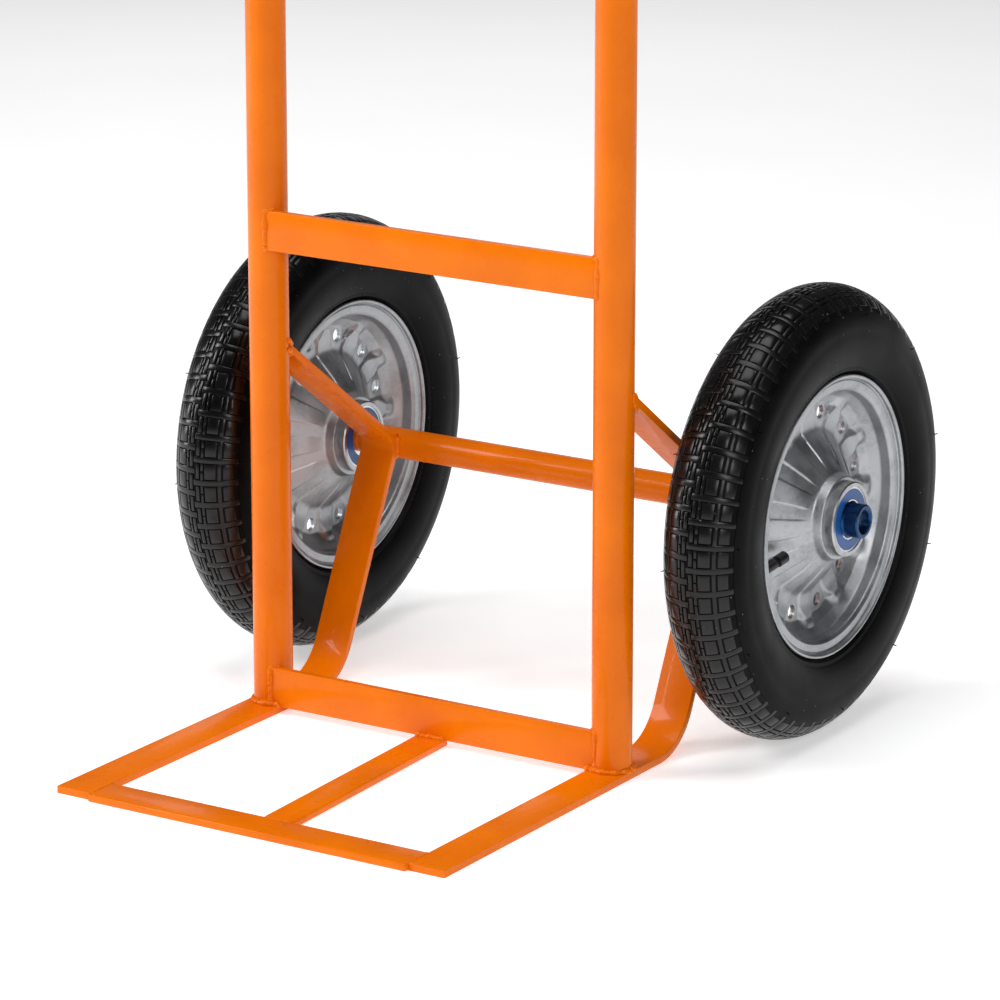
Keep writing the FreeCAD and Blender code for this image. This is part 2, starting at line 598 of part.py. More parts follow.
def rim_half(name, side, end):
    """Pressed half of the rim: flange, bead seat, well, drilled disc and hub cone."""
    turn = outward(side * end)
    body = make_body(name, **at_wheel(side), **turn)
    sketch = make_sketch(body, "XY_Plane")
    # The sheet leans on the cone and in the well, so it is wider there along X or the radius.
    lean_sheet = "rim_sheet * 1.4"
    well_bend_r = "(bead_radius + well_radius) / 2"
    draw(sketch, [
        ("0", "cone_radius"),
        ("cone_half", "hub_od / 2 + cone_flare"),
        ("cone_half + small_chamfer", "hub_od / 2"),
        ("cone_half + cone_lip", "hub_od / 2"),
        ("cone_half + cone_lip", "hub_od / 2 + rim_sheet"),
        ("cone_half + rim_sheet", "hub_od / 2 + cone_flare + small_chamfer"),
        ("rim_sheet", f"cone_radius + {lean_sheet}"),
        ("rim_sheet", "well_radius - small_chamfer"),
        ("well_step", f"{well_bend_r} - rim_sheet"),
        ("seat_start", "bead_radius - rim_sheet"),
        ("bead_half", "bead_radius - rim_sheet"),
        ("bead_half + rim_sheet", "bead_radius + small_chamfer"),
        ("bead_half + rim_sheet", "bead_radius + flange_rise / 2"),
        ("flange_half", "flange_radius - rim_sheet"),
        ("flange_half", "flange_radius"),
        ("bead_half + small_chamfer", "flange_radius - small_chamfer"),
        ("bead_half", "bead_radius + flange_rise / 2"),
        ("bead_half", "bead_radius"),
        ("seat_start - small_chamfer", "bead_radius"),
        ("well_step - rim_sheet", well_bend_r),
        ("0", "well_radius + small_chamfer"),
    ])
    add_turn(body, sketch)
    holes = make_sketch(body, "YZ_Plane")
    first = "180 / vent_count * 1 deg"
    place = (f"vent_radius * cos({first})", f"vent_radius * sin({first})")
    draw_circle(holes, place[0], place[1], "vent_hole_d / 2")
    pocket = add_pocket(body, holes, "4 * rim_sheet", symmetric=True)
    pattern = body.newObject("PartDesign::PolarPattern", f"{name}_vents")
    pattern.Originals = [pocket]
    pattern.Axis = (origin_feature(body, "X_Axis"), [""])
    pattern.Angle = 360
    pattern.setExpression("Occurrences", ref("vent_count"))
    body.Tip = pattern
    doc.recompute()
    if end > 0:
        hole = body.newObject("PartDesign::SubtractiveCylinder", f"{name}_valve_hole")
        hole.setExpression("Radius", ref("valve_od / 2 + valve_gap"))
        hole.setExpression("Height", ref("2 * valve_drill"))
        hole.MapMode = "Deactivated"
        below = FreeCAD.Placement(VEC(0, 0, -size("valve_drill")), FreeCAD.Rotation())
        hole.Placement = valve_seat() * below
        doc.recompute()


def tyre(name, side):
    """Rubber casing: rounded tread, bulged side walls, beads, and a round cavity."""
    half = [
        ("bead_toe", "bead_radius"),
        ("bead_half", "bead_radius"),
        ("bead_half", "bead_radius + flange_rise / 2"),
        ("bead_half + small_chamfer", "flange_radius - small_chamfer"),
    ]
    mirrored = [(f"-({x})", radius) for x, radius in reversed(half[1:])]
    profile = half + [
        ("flange_half - small_chamfer", "flange_radius + bead_lip", "tyre_wall_r", 1),
        ("tyre_half_width", "cavity_r", "tyre_wall_r", 1),
        ("shoulder_half", "tyre_radius - shoulder_drop", "crown_r", 1),
        ("-shoulder_half", "tyre_radius - shoulder_drop", "tyre_wall_r", 1),
        ("-tyre_half_width", "cavity_r", "tyre_wall_r", 1),
        ("-flange_half + small_chamfer", "flange_radius + bead_lip"),
    ] + mirrored + [
        ("-bead_toe", "bead_radius"),
        ("-bead_toe", "cavity_mouth", "cavity_radius", -1),
        ("-cavity_radius", "cavity_r", "cavity_radius", -1),
        ("0", "cavity_r + cavity_radius", "cavity_radius", -1),
        ("cavity_radius", "cavity_r", "cavity_radius", -1),
        ("bead_toe", "cavity_mouth"),
    ]
    turned_piece(name, profile, **at_wheel(side))


def inner_tube(name, side):
    """Hollow rubber ring inside the tyre."""
    body = make_body(name, **at_wheel(side))
    sketch = make_sketch(body, "XY_Plane")
    draw_circle(sketch, "0", "cavity_r", "tube_r")
    draw_circle(sketch, "0", "cavity_r", "tube_r - tube_wall")
    add_turn(body, sketch)


def valve_seat():
    """Place of the valve in its wheel: its own Z leans out of the rim, away from the hub."""
    turn = math.radians(size("valve_angle"))
    tilt = math.radians(size("valve_tilt"))
    out = VEC(-math.sin(tilt), math.cos(tilt) * math.cos(turn), math.cos(tilt) * math.sin(turn))
    radius = size("valve_seat_r")
    seat = VEC(size("valve_offset"), radius * math.cos(turn), radius * math.sin(turn))
    return FreeCAD.Placement(seat, FreeCAD.Rotation(VEC(0, 0, 1), out))


def valve(side_name, side):
    """Rubber stem from the inner tube through the rim, leaning to the outside, and its cap."""
    centre = VEC(side * size("wheel_x"), size("axle_y"), size("tyre_radius"))
    facing = FreeCAD.Rotation(VEC(0, 0, 1), 0 if side > 0 else 180)
    place = FreeCAD.Placement(centre, facing) * valve_seat()
    stem = make_body(f"{side_name}_valve_stem")
    sketch = make_sketch(stem, "XZ_Plane")
    thread = "valve_od / 2 - valve_thread"
    end = "cap_length - valve_reach"
    draw(sketch, [
        ("0", "-valve_reach"),
        (thread, "-valve_reach"),
        (thread, f"{end} - valve_land"),
        ("valve_od / 2", end),
        ("valve_od / 2", "valve_root"),
        ("0", "valve_root"),
    ])
    add_turn(stem, sketch, "Z_Axis")
    # The root of the stem is hollowed to the round of the inner tube that it is bonded to.
    hollow = stem.newObject("PartDesign::SubtractiveTorus", f"{side_name}_valve_root")
    hollow.setExpression("Radius1", ref("cavity_r"))
    hollow.setExpression("Radius2", ref("tube_r"))
    hollow.MapMode = "Deactivated"
    ring_turn = FreeCAD.Placement(VEC(0, 0, 0), FreeCAD.Rotation(VEC(0, 1, 0), 90))
    hollow.Placement = valve_seat().inverse() * ring_turn
    doc.recompute()
    cap = make_body(f"{side_name}_valve_cap")
    sketch = make_sketch(cap, "XZ_Plane")
    draw(sketch, [
        ("0", "-valve_reach - valve_land"),
        ("cap_od / 2 - small_chamfer", "-valve_reach - valve_land"),
        ("cap_od / 2", "-valve_reach - valve_land + small_chamfer"),
        ("cap_od / 2", f"{end} - valve_land - small_chamfer"),
        (thread, f"{end} - valve_land - small_chamfer"),
        (thread, "-valve_reach"),
        ("0", "-valve_reach"),
    ])
    add_turn(cap, sketch, "Z_Axis")
    for body in (stem, cap):
        for letter in "xyz":
            body.setExpression(f"Placement.Base.{letter}", None)
        body.Placement = place


def build_frame():
    for side_name, side in LEFT_AND_RIGHT:
        upright(f"upright_{side_name}", side)
        grip(f"grip_{side_name}", side)
        side_bar(f"side_bar_{side_name}", side)
    crossbar("lower_crossbar", "(bar_thick + bar_width)")
    crossbar("mid_crossbar", "mid_bar_top")
    crossbar("upper_crossbar", "upper_bar_top")
    front = "-toe_reach - front_bar_proud"
    rear = "-toe_reach - front_bar_proud + bar_width"
    flat_toe_bar("toe_front_bar", [
        ("-side_bar_inner", front),
        ("side_bar_inner", front),
        ("side_bar_inner", rear),
        ("-side_bar_inner", rear),
    ])
    half = "centre_bar_width / 2"
    flat_toe_bar("toe_centre_bar", [
        (f"centre_bar_skew - {half}", rear),
        (f"centre_bar_skew + {half}", rear),
        (half, "-crossbar_back"),
        (f"-{half}", "-crossbar_back"),
    ])
    axle_parts()


def build_wheel(side_name, side):
    tyre(f"{side_name}_tyre", side)
    inner_tube(f"{side_name}_inner_tube", side)
    rim_half(f"{side_name}_rim_outer_half", side, 1)
    rim_half(f"{side_name}_rim_inner_half", side, -1)
    hub_shell(f"{side_name}_hub_shell", side)
    valve(side_name, side)
    bearing(f"{side_name}_outer_bearing", side, 1)
    bearing(f"{side_name}_inner_bearing", side, -1)
    spacer = ring_profile("-bearing_back", "bearing_back", "axle_rod_od / 2", "spacer_od / 2")
    turned_piece(f"{side_name}_bearing_spacer", spacer, **at_wheel(side))
    axle_collar(f"{side_name}_axle_collar", side)
    grub_screw(f"{side_name}_collar_screw", side)


build_frame()
for wheel_side_name, wheel_side in LEFT_AND_RIGHT:
    build_wheel(wheel_side_name, wheel_side)
doc.recompute()

for item in doc.Objects:
    if "Invalid" in item.State or "Error" in item.State:
        raise RuntimeError(f"{item.Label} failed: {item.State}")

sub_parts = [item for item in doc.Objects if item.TypeId == "PartDesign::Body"]
sub_parts += [item for item in doc.Objects if item.TypeId == "Part::Feature"]
for item in sub_parts:
    if item.Shape.isNull() or not item.Shape.isValid():
        raise RuntimeError(f"{item.Label} has no valid shape")
for item in sub_parts:
    item.Shape.exportStep(os.path.join("parts", f"{item.Label}.step"))
    box = item.Shape.optimalBoundingBox()
    print(f"{item.Label:32s} solids {len(item.Shape.Solids)}  volume {item.Shape.Volume:11.1f}"
          f"  x {box.XMin:8.1f} {box.XMax:8.1f}  y {box.YMin:8.1f} {box.YMax:8.1f}"
          f"  z {box.ZMin:8.1f} {box.ZMax:8.1f}")
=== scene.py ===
import json
import math
import random

import bmesh
import bpy
from mathutils import Matrix, Vector, noise


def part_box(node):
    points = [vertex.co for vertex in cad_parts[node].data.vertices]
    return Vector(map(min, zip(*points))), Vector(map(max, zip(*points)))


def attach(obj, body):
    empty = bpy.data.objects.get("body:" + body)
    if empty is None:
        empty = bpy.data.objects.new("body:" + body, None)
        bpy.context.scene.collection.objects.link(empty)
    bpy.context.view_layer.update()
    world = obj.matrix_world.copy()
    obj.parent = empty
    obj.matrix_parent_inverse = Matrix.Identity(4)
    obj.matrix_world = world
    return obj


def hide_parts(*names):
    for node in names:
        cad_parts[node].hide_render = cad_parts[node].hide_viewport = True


# The looks of a two-wheeled hand truck: orange enamelled frame with its weld beads, two
# pneumatic wheels on pressed rims, and rubber hand grips. Lengths in this file are
# millimetres unless a name ends in _m; the frame and every mesh are in metres.

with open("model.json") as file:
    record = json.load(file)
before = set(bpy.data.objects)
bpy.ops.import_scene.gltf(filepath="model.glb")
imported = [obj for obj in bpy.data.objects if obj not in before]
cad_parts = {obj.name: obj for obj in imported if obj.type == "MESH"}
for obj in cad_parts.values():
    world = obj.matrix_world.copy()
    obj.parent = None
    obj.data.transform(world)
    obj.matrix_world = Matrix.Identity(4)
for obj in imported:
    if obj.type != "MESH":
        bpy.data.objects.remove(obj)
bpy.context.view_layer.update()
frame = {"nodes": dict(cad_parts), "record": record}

MM = 0.001
MERGE_M = 0.00001
SIDES = (("left", -1), ("right", 1))
FULL_TURN = 2 * math.pi


# ---------------------------------------------------------------- places taken from the frame

def middle(node):
    """Centre of a CAD node's box, in millimetres."""
    low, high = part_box(node)
    return (low + high) / 2 / MM


def edge(node, axis, end):
    """Lowest (end 0) or highest (end 1) coordinate of a node along an axis, in millimetres."""
    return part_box(node)[end]["xyz".index(axis)] / MM


UPRIGHT_R = 16
UPRIGHT_X = middle("upright_right").x
UPRIGHT_Y = edge("upright_right", "y", 0) + UPRIGHT_R
BAR_THICK = edge("toe_front_bar", "z", 1)
WHEEL_CENTRE = {side: middle(f"{side}_hub_shell") for side, _ in SIDES}
AXLE = WHEEL_CENTRE["right"]
TYRE_R = edge("right_tyre", "z", 1) - AXLE.z


# ---------------------------------------------------------------- small mesh tools

def make_mesh(name, points, faces, sharp=35, outward=False):
    """A smooth-shaded mesh from points in millimetres, with edges sharper than an angle kept."""
    mesh = bpy.data.meshes.new(name)
    mesh.from_pydata([Vector(point) * MM for point in points], [], faces)
    if outward:
        shell = bmesh.new()
        shell.from_mesh(mesh)
        bmesh.ops.remove_doubles(shell, verts=shell.verts, dist=MERGE_M)
        bmesh.ops.recalc_face_normals(shell, faces=shell.faces)
        shell.to_mesh(mesh)
        shell.free()
    mesh.shade_smooth()
    mesh.set_sharp_from_angle(angle=math.radians(sharp))
    return mesh


def add_piece(name, mesh, body, material, replaces=()):
    """Put a finished mesh on a body of the frame."""
    piece = bpy.data.objects.new(name, mesh)
    bpy.context.scene.collection.objects.link(piece)
    mesh.materials.clear()
    mesh.materials.append(material)
    finish_piece(piece, body, replaces)


def finish_piece(piece, body, replaces=()):
    """Parent a piece to its body's empty and hide the CAD nodes it stands for."""
    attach(piece, body)
    if replaces:
        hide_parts(*replaces)


def arc_points(start, end, radius, side, count):
    """Points of the short arc from start to end; side +1 has its centre on the left."""
    start = Vector(start)
    end = Vector(end)
    along = end - start
    across = Vector((-along.y, along.x)).normalized()
    reach = math.sqrt(max(radius ** 2 - (along.length / 2) ** 2, 0))
    centre = (start + end) / 2 + across * reach * side
    first = start - centre
    last = end - centre
    sweep = -first.angle_signed(last)
    points = []
    for step in range(count):
        turn = Matrix.Rotation(sweep * step / count, 2)
        points.append(centre + turn @ first)
    return points


def rounded(corners, steps=4):
    """An outline whose corners (x, y, radius) are rounded."""
    points = []
    total = len(corners)
    for index, (x, y, radius) in enumerate(corners):
        corner = Vector((x, y))
        if radius == 0:
            points.append(corner)
            continue
        before = Vector(corners[index - 1][:2]) - corner
        after = Vector(corners[(index + 1) % total][:2]) - corner
        half_turn = (math.pi - before.angle(after)) / 2
        back = min(radius * math.tan(half_turn), before.length * 0.45, after.length * 0.45)
        start = corner + before.normalized() * back
        end = corner + after.normalized() * back
        for step in range(steps + 1):
            share = step / steps
            points.append(start.lerp(corner, share).lerp(corner.lerp(end, share), share))
    return points


def refine(points, longest):
    """Split the long runs of a closed outline."""
    fine = []
    for index, point in enumerate(points):
        following = points[(index + 1) % len(points)]
        parts = max(1, math.ceil((following - point).length / longest))
        fine += [point.lerp(following, part / parts) for part in range(parts)]
    return fine


def lathe(profile, steps, sweep=FULL_TURN, shift=None):
    """Points and faces of a closed (x, radius) outline turned about the X axis. shift gives
    how far each point moves along X, from its radius and angle."""
    closed = sweep == FULL_TURN
    rings = steps if closed else steps + 1
    points = []
    for ring in range(rings):
        angle = sweep * ring / steps
        for spot in profile:
            push = shift(spot, angle) if shift else 0
            points.append((spot.x + push, spot.y * math.cos(angle), spot.y * math.sin(angle)))
    size = len(profile)
    faces = []
    for ring in range(steps):
        near = ring * size
        far = ((ring + 1) % rings) * size
        for index in range(size):
            following = (index + 1) % size
            faces.append((near + index, near + following, far + following, far + index))
    return points, faces


def tube_along(path, radii, sides=10):
    """A closed tube through points, with its own radius at each of them."""
    points = []
    faces = []
    count = len(path)
    up = Vector((0.31, 0.17, 0.93))
    for index, spot in enumerate(path):
        ahead = path[min(index + 1, count - 1)] - path[max(index - 1, 0)]
        across = ahead.cross(up).normalized()
        other = ahead.cross(across).normalized()
        for side in range(sides):
            angle = FULL_TURN * side / sides
            out = across * math.cos(angle) + other * math.sin(angle)
            points.append(spot + out * radii[index])
    for index in range(count - 1):
        for side in range(sides):
            following = (side + 1) % sides
            near = index * sides
            far = near + sides
            faces.append((near + side, near + following, far + following, far + side))
    faces.append(tuple(range(sides)))
    faces.append(tuple(range((count - 1) * sides, count * sides))[::-1])
    return points, faces


def joined(parts):
    """Several (points, faces) as one."""
    points = []
    faces = []
    for part_points, part_faces in parts:
        base = len(points)
        points += part_points
        faces += [tuple(corner + base for corner in face) for face in part_faces]
    return points, faces


def smooth_step(low, high, value):
    """From 0 at low to 1 at high, level at both ends."""
    share = min(max((value - low) / (high - low), 0), 1)
    return share * share * (3 - 2 * share)


# ---------------------------------------------------------------- materials

def srgb(text):
    """A hex colour as Blender's linear RGBA."""
    values = []
    for start in (0, 2, 4):
        part = int(text[start:start + 2], 16) / 255
        values.append(part / 12.92 if part <= 0.04045 else ((part + 0.055) / 1.055) ** 2.4)
    return (*values, 1)


def add_node(tree, kind, wires=None, **settings):
    """A node with its settings. wires gives its inputs, each a value or another's output."""
    node = tree.nodes.new(kind)
    for name, value in settings.items():
        setattr(node, name, value)
    for socket, value in (wires or {}).items():
        if isinstance(value, bpy.types.NodeSocket):
            tree.links.new(value, node.inputs[socket])
        else:
            node.inputs[socket].default_value = value
    return node


def start_material(name):
    """An empty material with its object coordinates: (material, tree, coordinates)."""
    material = bpy.data.materials.new(name)
    material.use_nodes = True
    tree = material.node_tree
    tree.nodes.clear()
    place = add_node(tree, "ShaderNodeTexCoord").outputs["Object"]
    return material, tree, place


def close_material(tree, shader_inputs):
    """End a material in one principled shader."""
    shader = add_node(tree, "ShaderNodeBsdfPrincipled", shader_inputs)
    add_node(tree, "ShaderNodeOutputMaterial", {"Surface": shader.outputs["BSDF"]})


def grain(tree, place, grain_mm, detail):
    """Noise whose features are grain_mm across."""
    wires = {"Vector": place, "Scale": 1 / (grain_mm * MM), "Detail": detail}
    return add_node(tree, "ShaderNodeTexNoise", wires).outputs["Fac"]


def blend_colours(tree, factor, low, high):
    """From one colour to another over the middle of a noise's range."""
    ramp = add_node(tree, "ShaderNodeValToRGB", {"Fac": factor})
    first, last = ramp.color_ramp.elements
    first.position = 0.35
    last.position = 0.65
    first.color = low
    last.color = high
    return ramp.outputs["Color"]


def between(tree, factor, low, high, start=0.3, end=0.7):
    """A factor that runs from start to end, as a value from low to high."""
    wires = {"Value": factor, "From Min": start, "From Max": end, "To Min": low, "To Max": high}
    return add_node(tree, "ShaderNodeMapRange", wires).outputs["Result"]


def bumped(tree, height, depth_mm):
    """A normal for a relief that is depth_mm deep."""
    wires = {"Height": height, "Distance": depth_mm * MM, "Strength": 1.0}
    return add_node(tree, "ShaderNodeBump", wires).outputs["Normal"]


def orange_enamel():
    """Stoved orange enamel over welded steel: a hard glossy coat with a faint orange peel,
    a little uneven in tone where it ran thicker."""
    material, tree, place = start_material("orange_stoved_enamel")
    tone = grain(tree, place, 60, 3)
    peel = grain(tree, place, 2.2, 1)
    haze = grain(tree, place, 14, 2)
    close_material(tree, {
        "Base Color": blend_colours(tree, tone, srgb("E46E00"), srgb("EE7700")),
        "Roughness": between(tree, haze, 0.24, 0.34),
        "IOR": 1.45,
        "Specular IOR Level": 0.13,
        "Coat Weight": 0.14,
        "Coat Roughness": 0.05,
        "Normal": bumped(tree, peel, 0.035),
    })
    return material


def tyre_rubber(name, low, high, gloss):
    """Vulcanised black rubber with flecks of dust caught on it. The tread is dressed and
    shines; the side wall is dull from the mould."""
    material, tree, place = start_material(name)
    tone = grain(tree, place, 18, 3)
    skin = grain(tree, place, 0.9, 2)
    cloud = grain(tree, place, 45, 2)
    cells = add_node(tree, "ShaderNodeTexVoronoi", {"Vector": place, "Scale": 1 / (7 * MM)})
    fleck = between(tree, cells.outputs["Distance"], 1.0, 0.0, 0.05, 0.08)
    dusty = between(tree, cloud, 0.0, 1.0, 0.5, 0.58)
    shown = add_node(tree, "ShaderNodeMath", {0: fleck, 1: dusty}, operation="MULTIPLY")
    base = blend_colours(tree, tone, srgb("060606"), srgb("0C0C0D"))
    colour = add_node(tree, "ShaderNodeMix", {"Factor": shown.outputs[0]}, data_type="RGBA")
    tree.links.new(base, colour.inputs["A"])
    colour.inputs["B"].default_value = srgb("7C7C7E")
    close_material(tree, {
        "Base Color": colour.outputs["Result"],
        "Roughness": between(tree, cloud, low, high),
        "IOR": 1.5,
        "Specular IOR Level": gloss,
        "Normal": bumped(tree, skin, 0.04),
    })
    return material


def galvanised_sheet():
    """Pressed galvanised steel: a bright grey zinc skin with a soft spangle, a few darker
    clouds, and fine drawing marks."""
    material, tree, place = start_material("galvanised_pressed_steel")
    cells = add_node(tree, "ShaderNodeTexVoronoi", {"Vector": place, "Scale": 1 / (2.4 * MM)})
    spangle = add_node(tree, "ShaderNodeSeparateColor", {"Color": cells.outputs["Color"]})
    cloud = grain(tree, place, 22, 3)
    fine = grain(tree, place, 1.6, 2)
    mixed = add_node(tree, "ShaderNodeMath", {0: spangle.outputs["Red"], 1: 0.14, 2: cloud},
                     operation="MULTIPLY_ADD")
    close_material(tree, {
        "Base Color": blend_colours(tree, mixed.outputs[0], srgb("999C9F"), srgb("B6B8BB")),
        "Metallic": 1.0,
        "Roughness": between(tree, mixed.outputs[0], 0.37, 0.48),
        "Normal": bumped(tree, fine, 0.03),
    })
    return material


def turned_metal(name, dark, light, low, high, ring_mm, depth_mm):
    """Metal turned on a lathe: fine grooves that run round the axle, at steps along X."""
    material, tree, place = start_material(name)
    along = add_node(tree, "ShaderNodeSeparateXYZ", {"Vector": place}).outputs["X"]
    wires = {"W": along, "Scale": 1 / (ring_mm * MM), "Detail": 2.0}
    rings = add_node(tree, "ShaderNodeTexNoise", wires, noise_dimensions="1D").outputs["Fac"]
    cloud = grain(tree, place, 7, 2)
    close_material(tree, {
        "Base Color": blend_colours(tree, cloud, srgb(dark), srgb(light)),
        "Metallic": 1.0,
        "Roughness": between(tree, cloud, low, high),
        "Normal": bumped(tree, rings, depth_mm),
    })
    return material


def soft_plastic(name, dark, light, low, high, grain_mm, depth_mm):
    """Moulded rubber or plastic: one tone, a little uneven, with a fine matt grain."""
    material, tree, place = start_material(name)
    skin = grain(tree, place, grain_mm, 2)
    cloud = grain(tree, place, grain_mm * 12, 2)
    close_material(tree, {
        "Base Color": blend_colours(tree, cloud, srgb(dark), srgb(light)),
        "Roughness": between(tree, cloud, low, high),
        "Normal": bumped(tree, skin, depth_mm),
    })
    return material


ENAMEL = orange_enamel()
WALL_RUBBER = tyre_rubber("vulcanised_side_wall_rubber", 0.34, 0.46, 0.07)
TREAD_RUBBER = tyre_rubber("dressed_tread_rubber", 0.2, 0.32, 0.34)
ZINC = galvanised_sheet()
# Drawn steel tube of the hub, dull grey with die marks round it.
HUB_STEEL = turned_metal("drawn_hub_steel", "A6A7AA", "BEBFC1", 0.3, 0.42, 1.2, 0.02)
# Ground bearing steel, nearly mirror bright.
BEARING_STEEL = turned_metal("ground_bearing_steel", "B9BBBE", "D5D7DA", 0.14, 0.22, 0.6, 0.004)
# Bright drawn bar of the axle.
AXLE_STEEL = turned_metal("bright_drawn_steel", "8F9092", "ABADAF", 0.22, 0.32, 0.9, 0.008)
# Steel blued in an oxide bath: a dark blue sheen over turned metal.
BLUED_STEEL = turned_metal("blued_steel", "1E3C62", "2B4E7C", 0.26, 0.38, 0.8, 0.01)
# Nitrile bearing seal, moulded in blue.
SEAL_BLUE = soft_plastic("blue_nitrile_seal", "0D4A8C", "13579F", 0.28, 0.4, 0.8, 0.01)
# Butyl of the inner tube and the valve's stem.
TUBE_RUBBER = soft_plastic("butyl_rubber", "131313", "1C1C1C", 0.38, 0.5, 0.7, 0.015)
# Moulded polypropylene valve cap.
CAP_PLASTIC = soft_plastic("moulded_cap_plastic", "101010", "191919", 0.3, 0.4, 0.5, 0.01)
# Hand grip of thermoplastic rubber with a matt spark-eroded grain.
GRIP_RUBBER = soft_plastic("moulded_grip_rubber", "141414", "1D1D1D", 0.5, 0.62, 0.8, 0.03)

SLOT_MATERIALS = {
    "orange_paint": ENAMEL,
    "grip_rubber": GRIP_RUBBER,
    "axle_steel": AXLE_STEEL,
    "tyre_rubber": WALL_RUBBER,
    "tube_rubber": TUBE_RUBBER,
    "galvanised_rim": ZINC,
    "hub_steel": HUB_STEEL,
    "bearing_steel": BEARING_STEEL,
    "seal_blue": SEAL_BLUE,
    "blued_steel": BLUED_STEEL,
    "valve_plastic": CAP_PLASTIC,
}


def paint_cad_nodes():
    """Give every CAD node that stays in view the finish of its slot."""
    for part in frame["record"]["subparts"]:
        node = frame["nodes"][part["node"]]
        node.data.materials.clear()
        node.data.materials.append(SLOT_MATERIALS[part["material_slot"]])


# ---------------------------------------------------------------- what repeats round a wheel

def ring_tree():
    """Geometry nodes: copies of a mesh round the X axis, welded and set in place."""
    tree = bpy.data.node_groups.new("ring_of_copies", "GeometryNodeTree")
    sockets = (
        ("Geometry", "NodeSocketGeometry"),
        ("Count", "NodeSocketInt"),
        ("First Angle", "NodeSocketFloat"),
        ("Weld Distance", "NodeSocketFloat"),
        ("Centre", "NodeSocketVector"),
        ("Material", "NodeSocketMaterial"),
    )
    for name, kind in sockets:
        tree.interface.new_socket(name, in_out="INPUT", socket_type=kind)
    tree.interface.new_socket("Geometry", in_out="OUTPUT", socket_type="NodeSocketGeometry")
    given = add_node(tree, "NodeGroupInput").outputs
    index = add_node(tree, "GeometryNodeInputIndex").outputs["Index"]
    step = add_node(tree, "ShaderNodeMath", {0: FULL_TURN, 1: given["Count"]}, operation="DIVIDE")
    wires = {0: index, 1: step.outputs[0], 2: given["First Angle"]}
    angle = add_node(tree, "ShaderNodeMath", wires, operation="MULTIPLY_ADD")
    turn = add_node(tree, "ShaderNodeCombineXYZ", {"X": angle.outputs[0]})
    spots = add_node(tree, "GeometryNodePoints", {"Count": given["Count"]})
    copies = add_node(tree, "GeometryNodeInstanceOnPoints", {
        "Points": spots.outputs[0],
        "Instance": given["Geometry"],
        "Rotation": turn.outputs[0],
    })
    real = add_node(tree, "GeometryNodeRealizeInstances", {"Geometry": copies.outputs[0]})
    wires = {"Geometry": real.outputs[0], "Distance": given["Weld Distance"]}
    welded = add_node(tree, "GeometryNodeMergeByDistance", wires)
    placed = add_node(tree, "GeometryNodeTransform", {
        "Geometry": welded.outputs[0],
        "Translation": given["Centre"],
    })
    wires = {"Geometry": placed.outputs[0], "Material": given["Material"]}
    painted = add_node(tree, "GeometryNodeSetMaterial", wires)
    add_node(tree, "NodeGroupOutput", {0: painted.outputs[0]})
    return tree


RING = ring_tree()


def baked(piece):
    """Turn the piece's modifiers into plain mesh."""
    depsgraph = bpy.context.evaluated_depsgraph_get()
    mesh = bpy.data.meshes.new_from_object(piece.evaluated_get(depsgraph), depsgraph=depsgraph)
    piece.modifiers.clear()
    piece.data = mesh
    return piece


def ring_of(name, mesh, count, material, centre=(0, 0, 0), first=0, weld=0):
    """A baked ring of copies of a mesh. centre is in millimetres."""
    piece = bpy.data.objects.new(name, mesh)
    bpy.context.scene.collection.objects.link(piece)
    modifier = piece.modifiers.new("ring", "NODES")
    modifier.node_group = RING
    values = {
        "Count": count,
        "First Angle": first,
        "Weld Distance": weld * MM,
        "Centre": tuple(Vector(centre) * MM),
        "Material": material,
    }
    for socket in RING.interface.items_tree:
        if socket.in_out == "INPUT" and socket.name in values:
            modifier[socket.identifier] = values[socket.name]
    return baked(piece)


def wheel_matrix(side, sign):
    """Place of a wheel piece whose own +X points to world +X (sign 1) or -X (sign -1)."""
    turn = 0 if sign > 0 else math.pi
    return Matrix.Translation(WHEEL_CENTRE[side] * MM) @ Matrix.Rotation(turn, 4, "Z")


# ---------------------------------------------------------------- tyre

CROWN_R = 35
TREAD_HALF = 38
TREAD_DEPTH = 0.95
SHOULDER_DEPTH = 0.3
TREAD_PITCHES = 60
PITCH = FULL_TURN * TYRE_R / TREAD_PITCHES
CROWN_CENTRE = TYRE_R - CROWN_R
SHOULDER_START = 18
CROWN_STEPS = 12
CASING_STEPS = 240
CAVITY_R = 30
CAVITY_CENTRE = 144
CAVITY_TOP = CAVITY_CENTRE + CAVITY_R
# Where the round cavity opens into the slot between the beads.
MOUTH_X = 18
MOUTH_R = 120
BEAD_GAP = 14
BEAD_R = 102


def groove_depth(across):
    """Depth of the tread's grooves, shallower towards the shoulders."""
    fade = smooth_step(SHOULDER_START, TREAD_HALF, abs(across))
    return TREAD_DEPTH - (TREAD_DEPTH - SHOULDER_DEPTH) * fade


